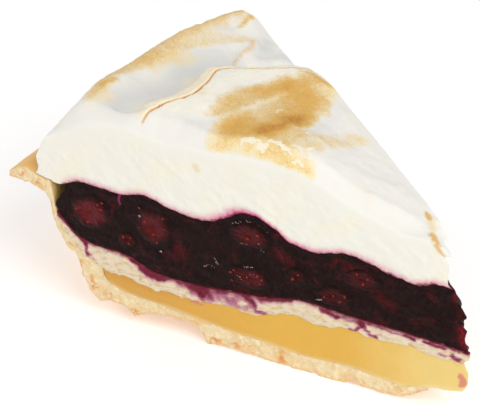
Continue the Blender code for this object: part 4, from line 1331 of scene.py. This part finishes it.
def make_filling(sizes, colours):
    """The fruit gel, thin and red in places."""
    overlap = sizes.overlap / MM

    def relief(spots):
        lumps = uneven(spots.points, 3.4, 5, 3) + 0.5 * uneven(spots.points, 1.0, 6, 3)
        return lumps * sizes.gel_relief / MM - spots.rounded(overlap, sizes.edge_round / MM)

    def fields(spots):
        tip = 1.0 - ease((spots.r - 1.0) / 5.0)
        thin = 0.3 * tip * ease(0.5 + uneven(spots.points, 1.6, 25))
        return {
            "above": spots.above, "below": spots.below,
            "thin": thin + spots.face_strokes(RED_STROKES, *RAGGED["red"]),
            "thread": spots.face_strokes(JUICE_THREADS) * (spots.v < 0.5),
        }

    shape = layer(cream_filling, filling_meringue, FILLING_TIP, FILLING_RIM, overlap,
                  far_corner=FILLING_FAR_CORNER)
    data = layer_mesh("fruit_gel", FILLING_DIVISIONS, shape, relief, fields)
    add_piece("fruit_gel", data, [gel_paint(colours)], "blueberry", "blueberry_filling")


def make_cream(sizes, colours):
    """The flaky cream layer with its juice stains."""
    overlap = sizes.overlap / MM

    def relief(spots):
        strata = spots.points * (0.4, 0.4, 1.0)
        flakes = uneven(strata, 0.8, 7, 3) + 0.7 * uneven(spots.points, 2.4, 8, 2)
        return flakes * sizes.cream_relief / MM - spots.rounded(overlap, sizes.edge_round / MM)

    def fields(spots):
        return {
            "above": spots.above, "below": spots.below,
            "stain": spots.face_strokes(STAIN_STROKES, *RAGGED["stain"]),
            "clean": spots.face_strokes(CLEAN_STROKES, *RAGGED["clean"]),
        }

    shape = layer(lemon_cream, cream_filling, CREAM_TIP, CREAM_RIM, overlap)
    data = layer_mesh("cream_band", CREAM_DIVISIONS, shape, relief, fields)
    add_piece("cream_band", data, [cream_paint(colours)], "cream", "cream_layer")


def make_lemon(sizes, colours):
    """The lemon filling, with marks of juice at the tip."""
    overlap = sizes.overlap / MM

    def relief(spots):
        waves = 0.22 * uneven(spots.points, 5.0, 9, 3) + 0.05 * uneven(spots.points, 1.0, 10, 2)
        return waves - spots.rounded(overlap, sizes.edge_round / MM)

    def fields(spots):
        return {
            "above": spots.above, "below": spots.below, "along": spots.r,
            "stain": strokes(LEMON_MARKS, spots.r, spots.z) * spots.on_face,
        }

    shape = layer(crust_lemon, lemon_cream, LEMON_TIP, LEMON_RIM, overlap)
    data = layer_mesh("lemon_curd", LEMON_DIVISIONS, shape, relief, fields)
    add_piece("lemon_curd", data, [lemon_paint(colours)], "lemon", "lemon_filling")


def make_crust(sizes, colours):
    """The crust, crumbly where it is cut and bubbled where it is baked."""
    overlap = sizes.overlap / MM

    def relief(spots):
        crumb = uneven(spots.points, 1.7, 12, 4) + 0.5 * uneven(spots.points, 4.0, 13, 2)
        baked = uneven(spots.points, 3.0, 14, 4)
        clear = ease(spots.z / 1.5)
        face = spots.on_face
        height = mix(baked * sizes.baked_relief / MM, crumb * sizes.crumb_relief / MM, face)
        covered = ease((spots.below - 0.4) / 1.0)
        return height * np.where(face > 0.5, 1.0, clear * mix(0.3, 1.0, covered))

    def fields(spots):
        return {"above": spots.above, "below": spots.below, "behind": spots.behind,
                "spots": spots.face_strokes(CRUST_SPOTS, *RAGGED["crust"])}

    divisions = (CRUST_BASE_STEPS + CRUST_WALL_STEPS, CRUST_ACROSS, CRUST_THROUGH)
    data = layer_mesh("pie_crust", divisions, crust_shape(overlap), relief, fields)
    points = read(data.vertices, "co", 3)
    points[:, 2] = np.maximum(points[:, 2], 0.0)
    data.vertices.foreach_set("co", points.ravel())
    add_piece("pie_crust", data, [crust_paint(colours)], "crust", "crust")


def face_frame(r, v, z):
    """Return a spot of a cut face in metres and its radial, outward and upward directions."""
    spot, further = (Vector(place(np.float64(at), np.float64(v), np.float64(z))) for at in (r, r + 1.0))
    radial = (spot - further).normalized()
    up = Vector((0.0, 0.0, 1.0))
    outward = up.cross(radial) if v > 0.5 else radial.cross(up)
    return spot, radial, outward, up


def berry_mesh(name, spot, v, number, sizes, draw):
    """Model a cut berry: an uneven ellipsoid with a flat wet face, veins and seeds."""
    r, z, half_length, half_height = spot
    centre, radial, outward, up = face_frame(r, v, z)
    turn = Matrix((radial, up, outward)).transposed()
    mesh = bmesh.new()
    bmesh.ops.create_uvsphere(mesh, u_segments=BERRY_SEGMENTS, v_segments=BERRY_RINGS, radius=1.0)
    rim_layer = mesh.verts.layers.float.new("rim")
    turn_layer = mesh.verts.layers.float.new("turn")
    dim_layer = mesh.verts.layers.float.new("dim")
    dim = BERRY_DIM[number % len(BERRY_DIM)]
    for vert in mesh.verts:
        around = math.atan2(vert.co.y, vert.co.x)
        reach = math.hypot(vert.co.x, vert.co.y)
        wobble = (1.0 + 0.05 * math.sin(2.0 * around + number)
                  + 0.035 * math.sin(5.0 * around + 2.0 * number))
        depth = vert.co.z * BERRY_DEPTH - BERRY_SET_BACK
        flesh = noise.fractal(Vector((vert.co.x * 3.0, vert.co.y * 3.0, number)), *NOISE_KIND, 3)
        domed = BERRY_PROUD - 0.45 * ease((reach - 0.62) / 0.36) + 0.20 * flesh * (1.0 - reach ** 4)
        if depth > domed:
            depth = domed - 0.14 * bell(reach / 0.4)
        vert[dim_layer] = dim
        vert[rim_layer] = reach if vert.co.z > 0.0 else 1.0
        vert[turn_layer] = around
        local = Vector((vert.co.x * half_length * wobble, vert.co.y * half_height * wobble, depth))
        vert.co = centre + turn @ (local * MM)
    for share_along, share_up in SEED_SPOTS[number % len(SEED_SPOTS)]:
        local = Vector((share_along * half_length, share_up * half_height, BERRY_PROUD - 0.05))
        at = centre + turn @ (local * MM)
        tilt = Matrix.Rotation(draw.uniform(-1.4, 1.4), 3, "Z")
        grown = sizes.seed_length * draw.uniform(0.65, 1.1)
        size = Matrix.Diagonal((0.5 * grown, 0.32 * grown, 0.24 * grown))
        made = bmesh.ops.create_uvsphere(mesh, u_segments=12, v_segments=8, radius=1.0)["verts"]
        for vert in made:
            vert.co = at + turn @ (tilt @ (size @ vert.co))
        for face in {face for vert in made for face in vert.link_faces}:
            face.material_index = 1
    return as_smooth_mesh(name, mesh)


def make_berries(sizes, colours):
    """The cut berries of both faces."""
    materials = [berry_paint(colours), seed_paint(colours)]
    draw = random.Random(sizes.seed)
    for face, v, berries in (("front", 0.0, FRONT_BERRIES), ("far", 1.0, FAR_BERRIES)):
        for number, spot in enumerate(berries):
            node = f"berry_{face}_{number + 1}"
            data = berry_mesh("cut_" + node, spot, v, number, sizes, draw)
            add_piece("cut_" + node, data, materials, "berry", node)


def make_crumbs(sizes, colours):
    """Loose crumbs along the cut crust, joined in one piece."""
    draw = random.Random(sizes.seed + 1)
    mesh = bmesh.new()
    places = [(v, points[0]) for strength, reach, points in CRUST_SPOTS for v in (0.0, 1.0)
              if not STEEP_WALL[0] < points[0][0] < STEEP_WALL[1]]
    for number, (v, (r, z)) in enumerate(places * sizes.crumb_count):
        r += draw.gauss(0.0, 0.5)
        z = max(z + draw.gauss(0.0, 0.4), 1.0)
        spot, radial, outward, up = face_frame(r, v, z)
        size = sizes.crumb_size * draw.uniform(0.3, 1.0)
        made = bmesh.ops.create_icosphere(mesh, subdivisions=2, radius=1.0)["verts"]
        stretch = Vector((draw.uniform(0.7, 1.3), draw.uniform(0.5, 0.8), draw.uniform(0.6, 1.0)))
        for vert in made:
            bumpy = 1.0 + 0.35 * noise.noise(vert.co * 1.7 + Vector((number, 0.0, 0.0)))
            local = vert.co * bumpy
            vert.co = (spot - outward * (0.15 * size) + radial * (local.x * stretch.x * size)
                       + outward * (local.y * stretch.y * size) + up * (local.z * stretch.z * size))
    for vert in mesh.verts:
        vert.co.z = max(vert.co.z, 0.0)
    data = as_smooth_mesh("crust_crumbs", mesh)
    for field, value in (("spots", 0.35), ("behind", 0.0), ("above", 3.15), ("below", 3.15)):
        paint_field(data, field, np.full(len(data.vertices), value))
    add_piece("crust_crumbs", data, [crust_paint(colours)], "crust")


def make_beads(sizes, colours):
    """Small pale beads on the fruit gel of both cut faces, painted glints, joined in one piece."""
    draw = random.Random(sizes.seed + 2)
    mesh = bmesh.new()
    places = [(v, row) for row in GLINT_ROWS for v in (0.0, 1.0)]
    for v, row in places * sizes.bead_count:
        number = draw.randrange(len(row) - 1)
        share = draw.random()
        r = mix(row[number][0], row[number + 1][0], share) + draw.gauss(0.0, 0.15) - v * FAR_FACE_SHIFT
        z = mix(row[number][1], row[number + 1][1], share) + draw.gauss(0.0, 0.12) - v * FAR_FACE_DROP
        spot, radial, outward, up = face_frame(r, v, z)
        size = draw.uniform(0.05, 0.13) * MM
        made = bmesh.ops.create_icosphere(mesh, subdivisions=1, radius=1.0)["verts"]
        for vert in made:
            vert.co = (spot + outward * (0.30 * MM + 0.6 * size * vert.co.y)
                       + radial * (1.5 * size * vert.co.x) + up * (size * vert.co.z))
    add_piece("painted_glints", as_smooth_mesh("painted_glints", mesh), [bead_paint(colours)], "blueberry")


def add_light(name, power, place_at, target):
    """Add a large soft lamp that faces the slice."""
    lamp = bpy.data.lights.new(name, "AREA")
    lamp.shape = "DISK"
    lamp.size = LIGHT_SIZE
    lamp.energy = power
    made = bpy.data.objects.new(name, lamp)
    made.location = place_at
    made.rotation_euler = (Vector(place_at) - target).to_track_quat("Z", "Y").to_euler()
    bpy.context.scene.collection.objects.link(made)


def make_stage(studio, colours):
    """The pale floor, the camera, the two lamps and the pale surroundings."""
    scene = bpy.context.scene
    scene.view_settings.view_transform = "Standard"

    mesh = bmesh.new()
    bmesh.ops.create_grid(mesh, x_segments=8, y_segments=8, size=FLOOR_HALF)
    floor = bpy.data.objects.new("studio_floor", as_mesh("studio_floor", mesh))
    floor.data.materials.append(floor_paint(colours))
    scene.collection.objects.link(floor)

    target = Vector(studio.target)
    back = Vector((math.sin(studio.azimuth) * math.cos(studio.elevation),
                   -math.cos(studio.azimuth) * math.cos(studio.elevation), math.sin(studio.elevation)))
    camera = bpy.data.objects.new("camera", bpy.data.cameras.new("camera"))
    camera.location = target + back * studio.distance
    camera.rotation_euler = back.to_track_quat("Z", "Y").to_euler()
    camera.data.lens = studio.lens
    camera.data.clip_start = 0.01
    scene.collection.objects.link(camera)
    scene.camera = camera

    add_light("rim_light", studio.rim_power, RIM_LIGHT_AT, target)
    add_light("tip_light", studio.tip_power, TIP_LIGHT_AT, target)
    scene.world = bpy.data.worlds.new("pale_surroundings")
    scene.world.use_nodes = True
    background = scene.world.node_tree.nodes["Background"]
    background.inputs["Color"].default_value = (1.0, 1.0, 1.0, 1.0)
    background.inputs["Strength"].default_value = studio.ambient


class PIE_OT_crust(bpy.types.Operator):
    """Model the shortcrust shell: base, wall and rim"""

    bl_idname = "pie.make_crust"
    bl_label = "Crust"

    def execute(self, context):
        make_crust(context.scene.pie_sizes, context.scene.pie_colours)
        return {"FINISHED"}


class PIE_OT_lemon(bpy.types.Operator):
    """Model the lemon filling"""

    bl_idname = "pie.make_lemon"
    bl_label = "Lemon filling"

    def execute(self, context):
        make_lemon(context.scene.pie_sizes, context.scene.pie_colours)
        return {"FINISHED"}


class PIE_OT_cream(bpy.types.Operator):
    """Model the flaky cream layer and its juice stains"""

    bl_idname = "pie.make_cream"
    bl_label = "Cream layer"

    def execute(self, context):
        make_cream(context.scene.pie_sizes, context.scene.pie_colours)
        return {"FINISHED"}


class PIE_OT_filling(bpy.types.Operator):
    """Model the dark fruit gel"""

    bl_idname = "pie.make_filling"
    bl_label = "Fruit gel"

    def execute(self, context):
        make_filling(context.scene.pie_sizes, context.scene.pie_colours)
        return {"FINISHED"}


class PIE_OT_berries(bpy.types.Operator):
    """Model the cut berries of both faces, with their seeds"""

    bl_idname = "pie.make_berries"
    bl_label = "Cut berries"

    def execute(self, context):
        make_berries(context.scene.pie_sizes, context.scene.pie_colours)
        return {"FINISHED"}


class PIE_OT_meringue(bpy.types.Operator):
    """Model the toasted meringue and its torn skin"""

    bl_idname = "pie.make_meringue"
    bl_label = "Meringue"

    def execute(self, context):
        make_meringue(context.scene.pie_sizes, context.scene.pie_colours)
        return {"FINISHED"}


class PIE_OT_crumbs(bpy.types.Operator):
    """Scatter loose crumbs on the cut crust"""

    bl_idname = "pie.make_crumbs"
    bl_label = "Crumbs"

    def execute(self, context):
        make_crumbs(context.scene.pie_sizes, context.scene.pie_colours)
        return {"FINISHED"}


class PIE_OT_beads(bpy.types.Operator):
    """Scatter small pale beads on the fruit gel, as painted glints"""

    bl_idname = "pie.make_beads"
    bl_label = "Juice beads"

    def execute(self, context):
        make_beads(context.scene.pie_sizes, context.scene.pie_colours)
        return {"FINISHED"}


class PIE_OT_stage(bpy.types.Operator):
    """Set up the pale floor, the lights and the camera"""

    bl_idname = "pie.make_stage"
    bl_label = "Stage"

    def execute(self, context):
        make_stage(context.scene.pie_studio, context.scene.pie_colours)
        return {"FINISHED"}


MAKERS = (PIE_OT_stage, PIE_OT_crust, PIE_OT_lemon, PIE_OT_cream, PIE_OT_filling, PIE_OT_berries,
          PIE_OT_meringue, PIE_OT_crumbs, PIE_OT_beads)


class PIE_PT_panel(bpy.types.Panel):
    """Lists the makers of the slice and their settings"""

    bl_idname = "PIE_PT_panel"
    bl_label = "Pie slice"
    bl_space_type = "VIEW_3D"
    bl_region_type = "UI"
    bl_category = "Pie"

    def draw(self, context):
        for maker in MAKERS:
            self.layout.operator(maker.bl_idname)
        scene = context.scene
        for group in (scene.pie_sizes, scene.pie_colours, scene.pie_studio):
            box = self.layout.box()
            for name in group.__annotations__:
                box.prop(group, name)


CLASSES = (PieSizes, PieColours, PieStudio, *MAKERS, PIE_PT_panel)


def register():
    for made in CLASSES:
        bpy.utils.register_class(made)
    bpy.types.Scene.pie_sizes = PointerProperty(type=PieSizes)
    bpy.types.Scene.pie_colours = PointerProperty(type=PieColours)
    bpy.types.Scene.pie_studio = PointerProperty(type=PieStudio)


def unregister():
    del bpy.types.Scene.pie_sizes
    del bpy.types.Scene.pie_colours
    del bpy.types.Scene.pie_studio
    for made in reversed(CLASSES):
        bpy.utils.unregister_class(made)


def main():
    register()
    for maker in MAKERS:
        group, name = maker.bl_idname.split(".")
        getattr(getattr(bpy.ops, group), name)()


if __name__ == "__main__":
    main()
